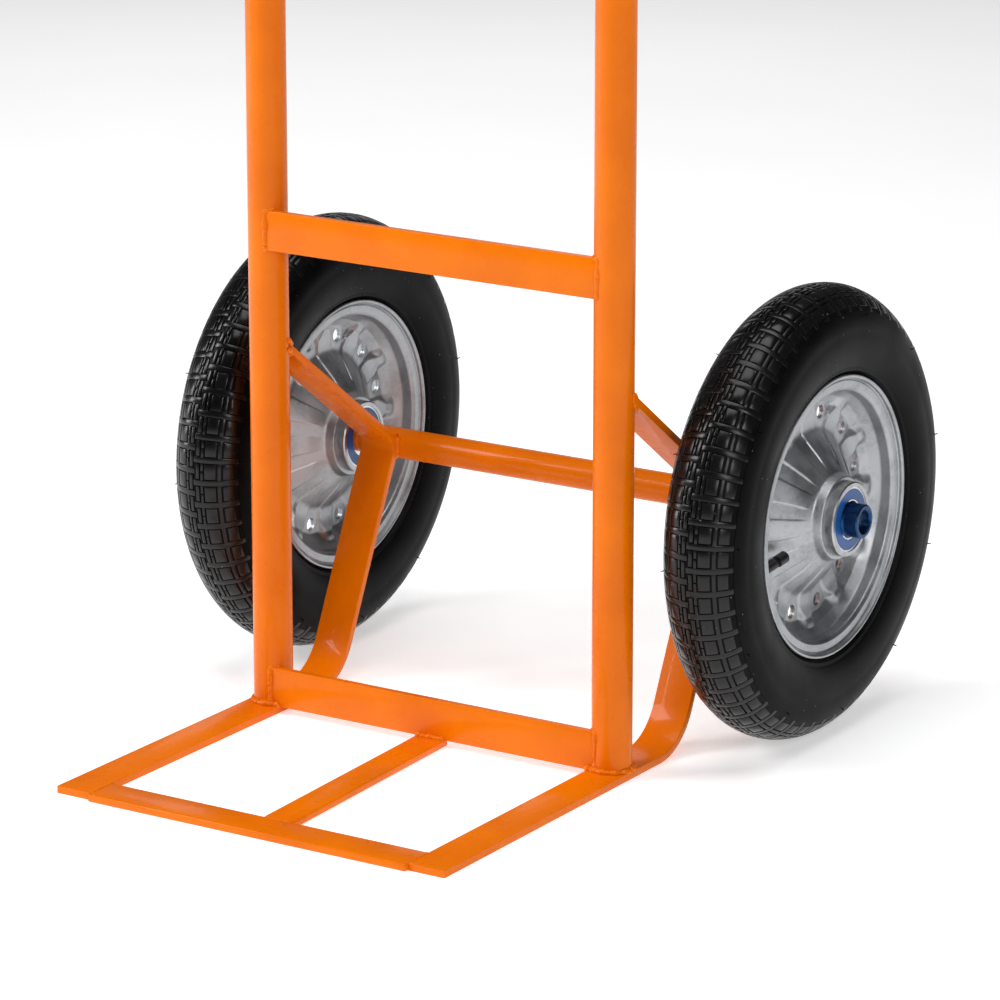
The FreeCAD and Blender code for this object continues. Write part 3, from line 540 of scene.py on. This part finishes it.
def tyre_profile():
    """Outline of the tyre's section: bead, moulded line, side wall, tread base, cavity."""
    reach = TREAD_HALF / CROWN_R
    crown = []
    for step in range(2 * CROWN_STEPS + 1):
        angle = reach * (1 - step / CROWN_STEPS)
        base_r = CROWN_R - groove_depth(angle * CROWN_R)
        crown.append(Vector((base_r * math.sin(angle), CROWN_CENTRE + base_r * math.cos(angle))))
    half = [Vector(spot) for spot in (
        (BEAD_GAP, BEAD_R), (24.4, BEAD_R), (24.4, 108.5), (25.6, 112.4), (27.4, 114.6),
        (29.2, 115.9), (30.3, 116.5), (30.8, 117.8), (30.9, 119.5), (31.6, 120.5),
    )]
    half += arc_points((31.9, 121.3), (CROWN_R, CROWN_CENTRE), 50, 1, 9)
    shoulder = (CROWN_R * math.sin(reach) + 0.2, CROWN_CENTRE + CROWN_R * math.cos(reach))
    half += arc_points((CROWN_R, CROWN_CENTRE), shoulder, CROWN_R, 1, 8)
    half.append(Vector(shoulder))
    other = [Vector((-spot.x, spot.y)) for spot in reversed(half)]
    slot = [Vector(spot) for spot in (
        (-BEAD_GAP, BEAD_R), (-BEAD_GAP, MOUTH_R), (-MOUTH_X, MOUTH_R),
    )]
    turns = (
        (-MOUTH_X, MOUTH_R), (-CAVITY_R, CAVITY_CENTRE), (0, CAVITY_TOP),
        (CAVITY_R, CAVITY_CENTRE), (MOUTH_X, MOUTH_R),
    )
    hollow = []
    for start, end, count in zip(turns, turns[1:], (4, 8, 8, 4)):
        hollow += arc_points(start, end, CAVITY_R, -1, count)
    hollow += [Vector((MOUTH_X, MOUTH_R)), Vector((BEAD_GAP, MOUTH_R))]
    return half + crown + other[:-1] + slot + hollow[1:]


def on_tread(across, along, height):
    """A point of the tread: across the section from the middle line, along the tread, and
    height over the crown."""
    tilt = across / CROWN_R
    reach = CROWN_R + height
    radius = CROWN_CENTRE + reach * math.cos(tilt)
    angle = along / TYRE_R
    return (reach * math.sin(tilt), radius * math.cos(angle), radius * math.sin(angle))


def tread_block(low, high, start, end, drop):
    """A raised block on a foot under the groove bottom, curved with the tread. Its top is
    drop under the crown."""
    columns = max(1, math.ceil((high - low) / 4))
    rows = max(1, math.ceil((end - start) / 7))
    points = []
    for buried, flare in ((True, FOOT_FLARE), (False, 0)):
        for row in range(rows + 1):
            for column in range(columns + 1):
                u = (low - flare) + (high - low + 2 * flare) * column / columns
                v = (start - flare) + (end - start + 2 * flare) * row / rows
                height = -groove_depth(u) - FOOT_SUNK if buried else -drop
                points.append(on_tread(u, v, height))
    wide = columns + 1
    layer = wide * (rows + 1)
    faces = []
    for row in range(rows):
        for column in range(columns):
            bottom = row * wide + column
            spot = layer + bottom
            faces.append((spot, spot + 1, spot + wide + 1, spot + wide))
            faces.append((bottom, bottom + wide, bottom + wide + 1, bottom + 1))
    border = list(range(columns))
    border += [columns + wide * row for row in range(rows)]
    border += [layer - 1 - column for column in range(columns)]
    border += [wide * (rows - row) for row in range(rows)]
    for index, corner in enumerate(border):
        following = border[(index + 1) % len(border)]
        faces.append((corner, following, layer + following, layer + corner))
    return points, faces


def soften_edges(mesh, width, segments, sharp):
    """Round every edge of a mesh that is sharper than an angle in degrees."""
    shell = bmesh.new()
    shell.from_mesh(mesh)
    limit = math.radians(sharp)
    edges = [line for line in shell.edges
             if len(line.link_faces) == 2 and line.calc_face_angle() > limit]
    bmesh.ops.bevel(shell, geom=edges, offset=width * MM, segments=segments, profile=0.5,
                    affect="EDGES", clamp_overlap=True)
    bmesh.ops.recalc_face_normals(shell, faces=shell.faces)
    shell.to_mesh(mesh)
    shell.free()
    mesh.shade_smooth()
    mesh.set_sharp_from_angle(angle=limit)


GROOVE = 0.8
FOOT_SUNK = 0.4
FOOT_FLARE = 0.2
BLOCK_ROUND = 0.4
RIB_DROP = 0.04
BAR_WIDE = 4.8
CELL_START = BAR_WIDE + GROOVE
CELL_END = PITCH - GROOVE
CELL_MIDDLE = (CELL_START + CELL_END) / 2
RIB_LAP = 0.3
# Blocks of one pitch of half the tread: low and high across it, start and end along it, and
# how far the top lies under the crown.
TREAD_BLOCKS = (
    (-0.6, TREAD_HALF, 0, BAR_WIDE, 0),
    (1.6, 4.6, CELL_START, CELL_END, 0),
    (6.0, 8.2, BAR_WIDE - RIB_LAP, CELL_MIDDLE - GROOVE / 2, RIB_DROP),
    (6.0, 8.2, CELL_MIDDLE + GROOVE / 2, PITCH + RIB_LAP, RIB_DROP),
    (9.4, 18.8, CELL_START, CELL_END, 0),
    (20.2, 23.4, BAR_WIDE - RIB_LAP, PITCH + RIB_LAP, RIB_DROP),
    (24.8, 33.4, CELL_START, CELL_END, 0),
)


def tread_cell(mirror):
    """One pitch of half the tread as a mesh about the X axis."""
    points, faces = joined([tread_block(*block) for block in TREAD_BLOCKS])
    if mirror:
        points = [(-x, y, z) for x, y, z in points]
    cell = make_mesh("tread_cell", points, faces, 30, outward=True)
    soften_edges(cell, BLOCK_ROUND, 2, 40)
    return cell


def join_meshes(name, pieces):
    """One mesh object from several baked ones; the others are removed."""
    mesh = bpy.data.meshes.new(name)
    sum_mesh = bmesh.new()
    for piece in pieces:
        sum_mesh.from_mesh(piece.data)
    sum_mesh.to_mesh(mesh)
    sum_mesh.free()
    mesh.set_sharp_from_angle(angle=math.radians(32))
    for material in pieces[0].data.materials:
        mesh.materials.append(material)
    joined_piece = bpy.data.objects.new(name, mesh)
    bpy.context.scene.collection.objects.link(joined_piece)
    for piece in pieces:
        bpy.data.objects.remove(piece)
    return joined_piece


def build_tyre(side):
    """Casing, tread and side wall details of one tyre."""
    centre = WHEEL_CENTRE[side]
    points, faces = lathe(tyre_profile(), CASING_STEPS)
    casing = make_mesh(f"{side}_tyre_casing", points, faces, 40, outward=True)
    casing.transform(Matrix.Translation(centre * MM))
    add_piece(f"{side}_tyre_casing", casing, f"wheel_{side}",
              WALL_RUBBER, [f"{side}_tyre"])
    half_pitch = math.pi / TREAD_PITCHES
    halves = []
    for mirror in (False, True):
        first = half_pitch if mirror else 0
        halves.append(ring_of("tread_half", tread_cell(mirror), TREAD_PITCHES, TREAD_RUBBER,
                              centre, first=first))
    tread = join_meshes(f"{side}_tyre_tread", halves)
    finish_piece(tread, f"wheel_{side}")
    build_side_wall_marks(side)


TICKS = 150
HAIRS = 11
HAIR_TURN = 0.2


def build_side_wall_marks(side):
    """Fine moulded ticks near the bead, and vent hairs on the shoulders."""
    centre = WHEEL_CENTRE[side]
    rings = []
    for mirror in (1, -1):
        tick = tick_mesh(mirror * 30.65, 0.3, 117.8, 119.6, 0.4)
        rings.append(ring_of("ticks", tick, TICKS, WALL_RUBBER, centre))
        rings.append(ring_of("hairs", hair_mesh(mirror), HAIRS, WALL_RUBBER, centre,
                             first=HAIR_TURN * mirror))
    marks = join_meshes(f"{side}_tyre_marks", rings)
    finish_piece(marks, f"wheel_{side}")


def tick_mesh(x, half_x, low, high, wide):
    """A raised tick on the side wall, along the radius."""
    points = []
    for across in (x - half_x, x + half_x):
        for radius in (low, high):
            for turn in (-wide / 2, wide / 2):
                points.append((across, radius, turn))
    faces = [(0, 1, 3, 2), (4, 6, 7, 5), (0, 4, 5, 1), (2, 3, 7, 6), (0, 2, 6, 4), (1, 5, 7, 3)]
    return make_mesh("tick", points, faces, 30, outward=True)


def hair_mesh(mirror):
    """A rubber hair left by a mould vent, on the shoulder."""
    foot = Vector((mirror * 32.6, 160.4, 0))
    bend = foot + Vector((mirror * 1.2, 0.9, 0.2))
    path = [foot, bend, foot + Vector((mirror * 2.2, 1.9, 0.7))]
    return make_mesh("hair", *tube_along(path, (0.55, 0.45, 0.3), 6), 60, outward=True)


# ---------------------------------------------------------------- rim

RIM_SECTORS = 12
SECTOR = FULL_TURN / RIM_SECTORS
RIM_STEPS = 36
HOLE_R = 5.5
HOLE_SIDES = 28
HOLE_CIRCLE = 80
HOLE_LIP = 0.35
LIP_INNER = HOLE_R + 1.4
LIP_OUTER = HOLE_R + 4
CHANNEL_HALF = math.radians(5.6)
CHANNEL_FLARE = math.radians(2.2)
CREASE = math.radians(1.5)
WALL_CREASE = math.radians(4.2)
PANEL_RISE = 1.5
RAMP_RISE = 3.4
# Radii between which a feature of the pressing grows in, or dies out.
PRESSED = (35, 99)
HUB_FADE = (36, 50)
FLARE_RUN = (62, 92)
RAMP_RUN = (73, 90)
CREASE_RUN = (78, 90)
WALL_FADE = (88, 98.8)


def rim_emboss(spot, angle):
    """How far the pressing pushes the sheet outwards at a radius and an angle. Sectors run
    from a panel's middle through the channel that has the hole to the next panel's middle."""
    radius = spot.y
    if not PRESSED[0] < radius < PRESSED[1]:
        return 0
    local = (angle % SECTOR) - SECTOR / 2
    aside = abs(local)
    # The channel flares towards the wall, so the panel between two channels narrows.
    half_wide = CHANNEL_HALF + CHANNEL_FLARE * smooth_step(*FLARE_RUN, radius)
    crease = CREASE + WALL_CREASE * smooth_step(*CREASE_RUN, radius)
    across = smooth_step(half_wide, half_wide + crease, aside)
    wall = 1 - smooth_step(*WALL_FADE, radius)
    reach = smooth_step(*HUB_FADE, radius) * wall
    rise = PANEL_RISE * across * reach
    # The panel's outer end swells into the wall.
    ramp = smooth_step(*RAMP_RUN, radius) * wall
    rise += RAMP_RISE * ramp * across
    # A low raised ring runs round the hole.
    away = math.hypot(radius - HOLE_CIRCLE, radius * local)
    rise += HOLE_LIP * (smooth_step(HOLE_R, LIP_INNER, away)
                        - smooth_step(LIP_INNER, LIP_OUTER, away))
    return rise


def rim_profile():
    """Closed section of one pressed rim half: hub lip, cone, disc, well, bead seat, and the
    flange with its rolled edge."""
    corners = [
        (34.6, 30.05, 0), (34.6, 33.0, 1.2), (27.2, 35.4, 4.5), (1.9, 66.5, 9), (1.9, 87.5, 4),
        (7.6, 94.4, 3), (15.6, 99.6, 4), (24.0, 99.8, 2.4), (26.2, 102.6, 1.2),
        (26.5, 108.2, 0.9), (25.4, 109.2, 0.4), (26.5, 110.1, 0.5), (28.6, 110.3, 0.9),
        (29.6, 111.5, 0.9), (29.5, 113.1, 0.8), (27.6, 113.5, 0.9), (25.4, 112.6, 1),
        (24.5, 109, 1), (24.4, 102.2, 1), (15, 102, 4), (6.0, 95.6, 3), (0.1, 89.2, 4),
        (0.1, 64.5, 9), (25.8, 33.4, 4), (32.9, 31.0, 0.8), (32.9, 30.05, 0),
    ]
    return refine(rounded([(x, y, fillet) for x, y, fillet in corners]), 1.6)


def hole_cutters():
    """One rod through a channel; the ring of them cuts the rim's holes."""
    outline = []
    sides = HOLE_SIDES
    for end in (-12, 18):
        for step in range(sides):
            angle = FULL_TURN * step / sides
            outline.append((end, HOLE_CIRCLE + HOLE_R * math.cos(angle),
                            HOLE_R * math.sin(angle)))
    faces = [tuple(range(sides))[::-1], tuple(range(sides, 2 * sides))]
    for step in range(sides):
        following = (step + 1) % sides
        faces.append((step, following, sides + following, sides + step))
    rod = make_mesh("hole_rod", outline, faces, 30, outward=True)
    return ring_of("hole_rods", rod, RIM_SECTORS, None, first=SECTOR / 2)


def pressed_rim():
    """Mesh of one rim half about its own X axis, with its holes cut through."""
    points, faces = lathe(rim_profile(), RIM_STEPS, SECTOR, rim_emboss)
    sector = make_mesh("rim_sector", points, faces, 50)
    rim = ring_of("rim_half", sector, RIM_SECTORS, ZINC, weld=0.02)
    cutters = hole_cutters()
    cut = rim.modifiers.new("holes", "BOOLEAN")
    cut.operation = "DIFFERENCE"
    cut.solver = "EXACT"
    cut.object = cutters
    baked(rim)
    bpy.data.objects.remove(cutters)
    shell = bmesh.new()
    shell.from_mesh(rim.data)
    bmesh.ops.recalc_face_normals(shell, faces=shell.faces)
    mesh = bpy.data.meshes.new("pressed_rim")
    shell.to_mesh(mesh)
    shell.free()
    bpy.data.objects.remove(rim)
    mesh.shade_smooth()
    mesh.set_sharp_from_angle(angle=math.radians(38))
    return mesh


def build_rims(pressed, side, sign):
    """Both halves of one rim: the same pressing, set back to back."""
    for end_name, end in (("outer", 1), ("inner", -1)):
        mesh = pressed.copy()
        mesh.transform(wheel_matrix(side, sign * end))
        add_piece(f"{side}_pressed_rim_{end_name}", mesh, f"wheel_{side}",
                  ZINC, [f"{side}_rim_{end_name}_half"])


# ---------------------------------------------------------------- flat bars

EDGE_ROUND = 1.3
FLAT_BARS = (
    "side_bar_left", "side_bar_right", "lower_crossbar", "mid_crossbar", "upper_crossbar",
    "toe_front_bar", "toe_centre_bar",
)


def build_flat_bars():
    """The frame's flat bars with the rounded edges of rolled stock."""
    for node in FLAT_BARS:
        mesh = bpy.data.meshes.new(f"{node}_rolled")
        shell = bmesh.new()
        shell.from_mesh(frame["nodes"][node].data)
        bmesh.ops.remove_doubles(shell, verts=shell.verts, dist=MERGE_M)
        bmesh.ops.dissolve_limit(shell, angle_limit=math.radians(1), verts=shell.verts,
                                 edges=shell.edges)
        shell.to_mesh(mesh)
        shell.free()
        soften_edges(mesh, EDGE_ROUND, 3, 50)
        add_piece(f"{node}_rolled", mesh, "frame", ENAMEL, [node])


# ---------------------------------------------------------------- weld beads

WELD_PITCH = 2.6
WELD_WANDER = 0.15
WELD_SEED = 7
# Fall of the side bars' upper arms, in degrees.
ARM_SLOPE = 36.3
CENTRE_BAR_WIDE = 27


def bead(path, radius, rng):
    """A weld bead: a tube that swells at each ripple and wanders a little."""
    points = []
    for index in range(len(path) - 1):
        run = path[index + 1] - path[index]
        parts = max(1, round(run.length / (WELD_PITCH / 4)))
        points += [path[index] + run * (part / parts) for part in range(parts)]
    points.append(path[-1])
    radii = []
    spots = []
    travelled = 0
    for index, spot in enumerate(points):
        if index:
            travelled += (spot - points[index - 1]).length
        ripple = abs(math.sin(math.pi * travelled / WELD_PITCH))
        lump = noise.noise(spot * 0.17) * 0.5 + noise.noise(spot * 0.06) * 0.3
        ends = min(index, len(points) - 1 - index) / 4
        radii.append(radius * (0.92 + 0.12 * ripple + lump) * min(1, 0.5 + ends))
        wander = Vector([rng.uniform(-WELD_WANDER, WELD_WANDER) for _ in range(3)])
        spots.append(spot + wander)
    return tube_along(spots, radii)


def blob(centre, sizes, rng):
    """A lump of weld metal: a ball with its own size along each axis, dented at random."""
    rings, sides = 8, 12
    shift = Vector([rng.uniform(0, 50) for _ in range(3)])
    points = []
    for ring in range(rings + 1):
        polar = math.pi * ring / rings
        for side in range(sides):
            angle = FULL_TURN * side / sides
            out = Vector((math.sin(polar) * math.cos(angle), math.sin(polar) * math.sin(angle),
                          math.cos(polar)))
            swell = 1 + 0.3 * noise.noise(out * 1.6 + shift)
            points.append(centre + Vector([a * b for a, b in zip(out * swell, sizes)]))
    faces = []
    for ring in range(rings):
        for side in range(sides):
            following = (side + 1) % sides
            near = ring * sides
            faces.append((near + side, near + sides + side, near + sides + following,
                          near + following))
    return points, faces


def round_path(centre, radius, first, last, steps, height):
    """Points round an upright; height gives z from the angle."""
    spots = []
    for step in range(steps + 1):
        angle = math.radians(first + (last - first) * step / steps)
        x = centre.x + radius * math.cos(angle)
        y = centre.y + radius * math.sin(angle)
        spots.append(Vector((x, y, height(angle))))
    return spots


def crossbar_welds(rng):
    """A bead all round each end of each crossbar, where it meets its upright."""
    beads = []
    for bar in ("lower_crossbar", "mid_crossbar", "upper_crossbar"):
        low = edge(bar, "z", 0)
        high = edge(bar, "z", 1)
        front = edge(bar, "y", 0)
        back = edge(bar, "y", 1)
        for _, sign in SIDES:
            reach = [UPRIGHT_X - math.sqrt(UPRIGHT_R ** 2 - (UPRIGHT_Y - y) ** 2)
                     for y in (front, back)]
            near = [Vector((sign * reach[0], front + 0.6, z)) for z in (low + 1, high)]
            far = [Vector((sign * reach[1], back, z)) for z in (high, low + 1)]
            beads.append(bead(near, 2.3, rng))
            beads.append(bead(far, 2.3, rng))
            beads.append(bead([near[1], far[0]], 1.9, rng))
            if low > BAR_THICK + 1:
                beads.append(bead([far[1], near[0]], 1.9, rng))
            for z, size in ((low + 1.5, 3.2), (high - 1, 2.8)):
                spot = Vector((sign * (reach[0] - 0.5), front + 1.2, z))
                beads.append(blob(spot, (size * 1.1, 2.4, size), rng))
    return beads


def foot_welds(rng):
    """A bead round the foot of each upright, on the side bar."""
    beads = []
    for _, sign in SIDES:
        centre = Vector((sign * UPRIGHT_X, UPRIGHT_Y, 0))
        ring = round_path(centre, UPRIGHT_R + 0.6, 0, 360, 40, lambda angle: BAR_THICK + 0.9)
        beads.append(bead(ring, 2.7, rng))
    return beads


def arm_welds(rng):
    """Beads where the side bar's upper arm meets the back of its upright."""
    beads = []
    top = edge("side_bar_right", "z", 1)
    slope = math.radians(ARM_SLOPE)
    fall = math.tan(slope)
    for _, sign in SIDES:
        centre = Vector((sign * UPRIGHT_X, UPRIGHT_Y, 0))
        for drop in (0, BAR_THICK / math.cos(slope)):
            def height(angle, drop=drop):
                return top - drop - UPRIGHT_R * math.sin(angle) * fall
            path = round_path(centre, UPRIGHT_R + 0.5, 8, 172, 20, height)
            beads.append(bead(path, 2.3, rng))
    return beads


def axle_welds(rng):
    """Beads above and below the line where the axle tube touches the side bars' bends."""
    beads = []
    low = edge("side_bar_right", "x", 0)
    high = edge("side_bar_right", "x", 1)
    front = edge("axle_tube", "y", 0)
    for _, sign in SIDES:
        for lift in (7.6, -7.6):
            ends = [Vector((sign * x, front + 1.6, AXLE.z + lift)) for x in (low + 1, high - 1)]
            beads.append(bead(ends, 3.2, rng))
        for x in (low + 0.4, high - 0.4):
            spots = [Vector((sign * x, front + 0.6, AXLE.z + lift)) for lift in (-8, 8)]
            beads.append(bead(spots, 2.2, rng))
    return beads


def toe_welds(rng):
    """Low, flat beads along the toe frame's butt joints."""
    beads = []
    front = edge("side_bar_right", "y", 0)
    rear = edge("toe_front_bar", "y", 1)
    side_x = edge("toe_front_bar", "x", 1)
    sunk = BAR_THICK - 0.75
    for _, sign in SIDES:
        ends = [Vector((sign * side_x, y, sunk)) for y in (front + 1, rear - 1)]
        beads.append(bead(ends, 1.3, rng))
    low = edge("toe_centre_bar", "x", 0)
    high = edge("toe_centre_bar", "x", 1)
    wide = CENTRE_BAR_WIDE
    ends = [Vector((x, rear, sunk)) for x in (high - wide + 1, high - 1)]
    beads.append(bead(ends, 1.3, rng))
    # The centre bar ends under the lower crossbar; its weld lies along the crossbar's foot.
    face = edge("lower_crossbar", "y", 0)
    ends = [Vector((x, face, BAR_THICK + 0.3)) for x in (low, low + wide)]
    beads.append(bead(ends, 2.2, rng))
    for x in (low + 3, low + wide / 2, low + wide - 3):
        beads.append(blob(Vector((x, face, BAR_THICK + 0.6)), (3.4, 2.4, 2.6), rng))
    # Fillets of weld in the corner of crossbar, side bar and upright.
    for _, sign in SIDES:
        inner = side_x + 1
        ends = [Vector((sign * x, face + 0.2, BAR_THICK + 0.3)) for x in (inner, inner + 9)]
        beads.append(bead(ends, 2.4, rng))
        beads.append(blob(ends[0] + Vector((0, -0.4, 0.8)), (3.2, 2.6, 3.0), rng))
    return beads


def build_welds():
    """Each joint's beads as one piece of the frame."""
    rng = random.Random(WELD_SEED)
    groups = (
        ("crossbar_welds", crossbar_welds), ("foot_welds", foot_welds),
        ("arm_welds", arm_welds), ("axle_welds", axle_welds), ("toe_welds", toe_welds),
    )
    for name, maker in groups:
        mesh = make_mesh(name, *joined(maker(rng)), 60, outward=True)
        add_piece(name, mesh, "frame", ENAMEL)


# ---------------------------------------------------------------- hand grips

GRIP_LENGTH = 118
GRIP_BORE_R = 16
STOP_R = 23.5
GRIP_STEPS = 64
GRIP_RIBS = 24
GRIP_WAVES = 4
WAVE_START = 14
WAVE_RUN = 24
HANDLE_LEAN = math.radians(60)


def grip_matrix(node):
    """Place of a grip: its own X axis runs along the handle, from the hand stop outwards."""
    low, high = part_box(node)
    x = (low.x + high.x) / 2
    along = Vector((0, math.sin(HANDLE_LEAN), math.cos(HANDLE_LEAN)))
    # The hand stop is a disc; the node's lowest and foremost points give its centre.
    stop_r = STOP_R * MM
    start_y = low.y + stop_r * math.cos(HANDLE_LEAN)
    start_z = low.z + stop_r * math.sin(HANDLE_LEAN)
    start = Vector((x, start_y, start_z))
    turn = along.to_track_quat("X", "Z").to_matrix().to_4x4()
    return Matrix.Translation(start) @ turn


def build_grips():
    """Moulded grip: hand stop, finger waves, long ribs and a domed end."""
    outline = [
        (0, GRIP_BORE_R, 0), (0, 23.0, 0.8), (2.6, 23.4, 1.0), (4.4, 21.0, 1.2), (8, 18.6, 2),
    ]
    for wave in range(GRIP_WAVES):
        start = WAVE_START + wave * WAVE_RUN
        outline += [(start, 18.0, 4), (start + WAVE_RUN / 2, 19.2, 6)]
    outline += [(112, 18.4, 3), (120.5, 17.2, 2), (121.9, 13.5, 2), (122, 0.01, 0)]
    outline += [(GRIP_LENGTH, 0.01, 0), (GRIP_LENGTH, GRIP_BORE_R, 0)]
    profile = refine(rounded(outline, 5), 3)
    for side, _ in SIDES:
        node = f"grip_{side}"
        place = grip_matrix(node)
        points, faces = lathe(profile, GRIP_STEPS)
        body = make_mesh(f"{node}_body", points, faces, 40, outward=True)
        body.transform(place)
        add_piece(f"{node}_body", body, "frame", GRIP_RUBBER, [node])
        rib = make_mesh("grip_rib", *rib_shape(), 40, outward=True)
        ribs = ring_of(f"{node}_ribs", rib, GRIP_RIBS, GRIP_RUBBER)
        ribs.data.transform(place)
        finish_piece(ribs, "frame")


def rib_shape():
    """One low rib along the grip."""
    path = []
    for x in range(16, 110, 4):
        phase = (x - WAVE_START) / WAVE_RUN * FULL_TURN - 1.6
        path.append(Vector((x, 18.3 + 0.6 * math.sin(phase), 0)))
    radii = [0.9] * len(path)
    radii[0] = radii[-1] = 0.3
    return tube_along(path, radii, 6)


# ---------------------------------------------------------------- floor, light and camera

FLOOR_REACH = 60000


def build_stage():
    """A pale seamless floor that gives off a little light, as a lit sweep does."""
    material, tree, place = start_material("pale_floor_paint")
    tone = grain(tree, place, 300, 2)
    close_material(tree, {
        "Base Color": blend_colours(tree, tone, srgb("F7F7F7"), srgb("FAFAFA")),
        "Roughness": 0.7,
        "Specular IOR Level": 0.1,
        "Emission Color": srgb("FFFFFF"),
        "Emission Strength": 0.46,
    })
    reach = FLOOR_REACH
    corners = [(-reach, -reach, 0), (reach, -reach, 0), (reach, reach, 0), (-reach, reach, 0)]
    mesh = make_mesh("floor", corners, [(0, 1, 2, 3)])
    mesh.materials.append(material)
    floor = bpy.data.objects.new("floor", mesh)
    bpy.context.scene.collection.objects.link(floor)


def add_soft_box(name, place_m, aim_m, wide_m, tall_m, watts):
    """A rectangular softbox that looks at a point."""
    data = bpy.data.lights.new(name, "AREA")
    data.shape = "RECTANGLE"
    data.size = wide_m
    data.size_y = tall_m
    data.energy = watts
    lamp = bpy.data.objects.new(name, data)
    bpy.context.scene.collection.objects.link(lamp)
    lamp.location = place_m
    gaze = Vector(aim_m) - Vector(place_m)
    lamp.rotation_euler = gaze.to_track_quat("-Z", "Y").to_euler()


def build_light():
    """A dim studio with a white backdrop, and soft boxes over and beside the truck."""
    world = bpy.data.worlds.new("studio")
    world.use_nodes = True
    tree = world.node_tree
    backdrop = tree.nodes["Background"]
    backdrop.inputs["Color"].default_value = srgb("F8F9FA")
    seen = add_node(tree, "ShaderNodeLightPath").outputs["Is Camera Ray"]
    tree.links.new(between(tree, seen, 0.07, 0.97, 0, 1), backdrop.inputs["Strength"])
    bpy.context.scene.world = world
    target = (0.05, 0.0, 0.3)
    add_soft_box("key_box", (-2.35, -2.0, 2.4), target, 1.3, 1.5, 66)
    add_soft_box("strip_box", (-3.0, -1.1, 0.75), target, 0.5, 1.0, 22)
    add_soft_box("right_box", (2.6, -1.8, 1.7), target, 0.9, 1.6, 32)
    add_soft_box("top_box", (0.2, -0.2, 3.3), target, 2.4, 2.4, 62)
    add_soft_box("back_box", (-1.7, 2.7, 1.1), target, 1.5, 0.8, 3)


def build_camera():
    """A long lens from the front right, a little above the object."""
    azimuth = math.radians(32.526)
    pitch = math.radians(15.907)
    data = bpy.data.cameras.new("camera")
    data.sensor_width = 36
    data.lens = 185.73
    camera = bpy.data.objects.new("camera", data)
    bpy.context.scene.collection.objects.link(camera)
    camera.location = (2.13414, -3.30022, 1.30802)
    camera.rotation_euler = (math.pi / 2 - pitch, 0, azimuth)
    bpy.context.scene.camera = camera


paint_cad_nodes()
rim_mesh = pressed_rim()
for wheel_side, wheel_sign in SIDES:
    build_tyre(wheel_side)
    build_rims(rim_mesh, wheel_side, wheel_sign)
build_flat_bars()
build_welds()
build_grips()
build_stage()
build_light()
build_camera()
bpy.context.scene.view_settings.view_transform = "Standard"
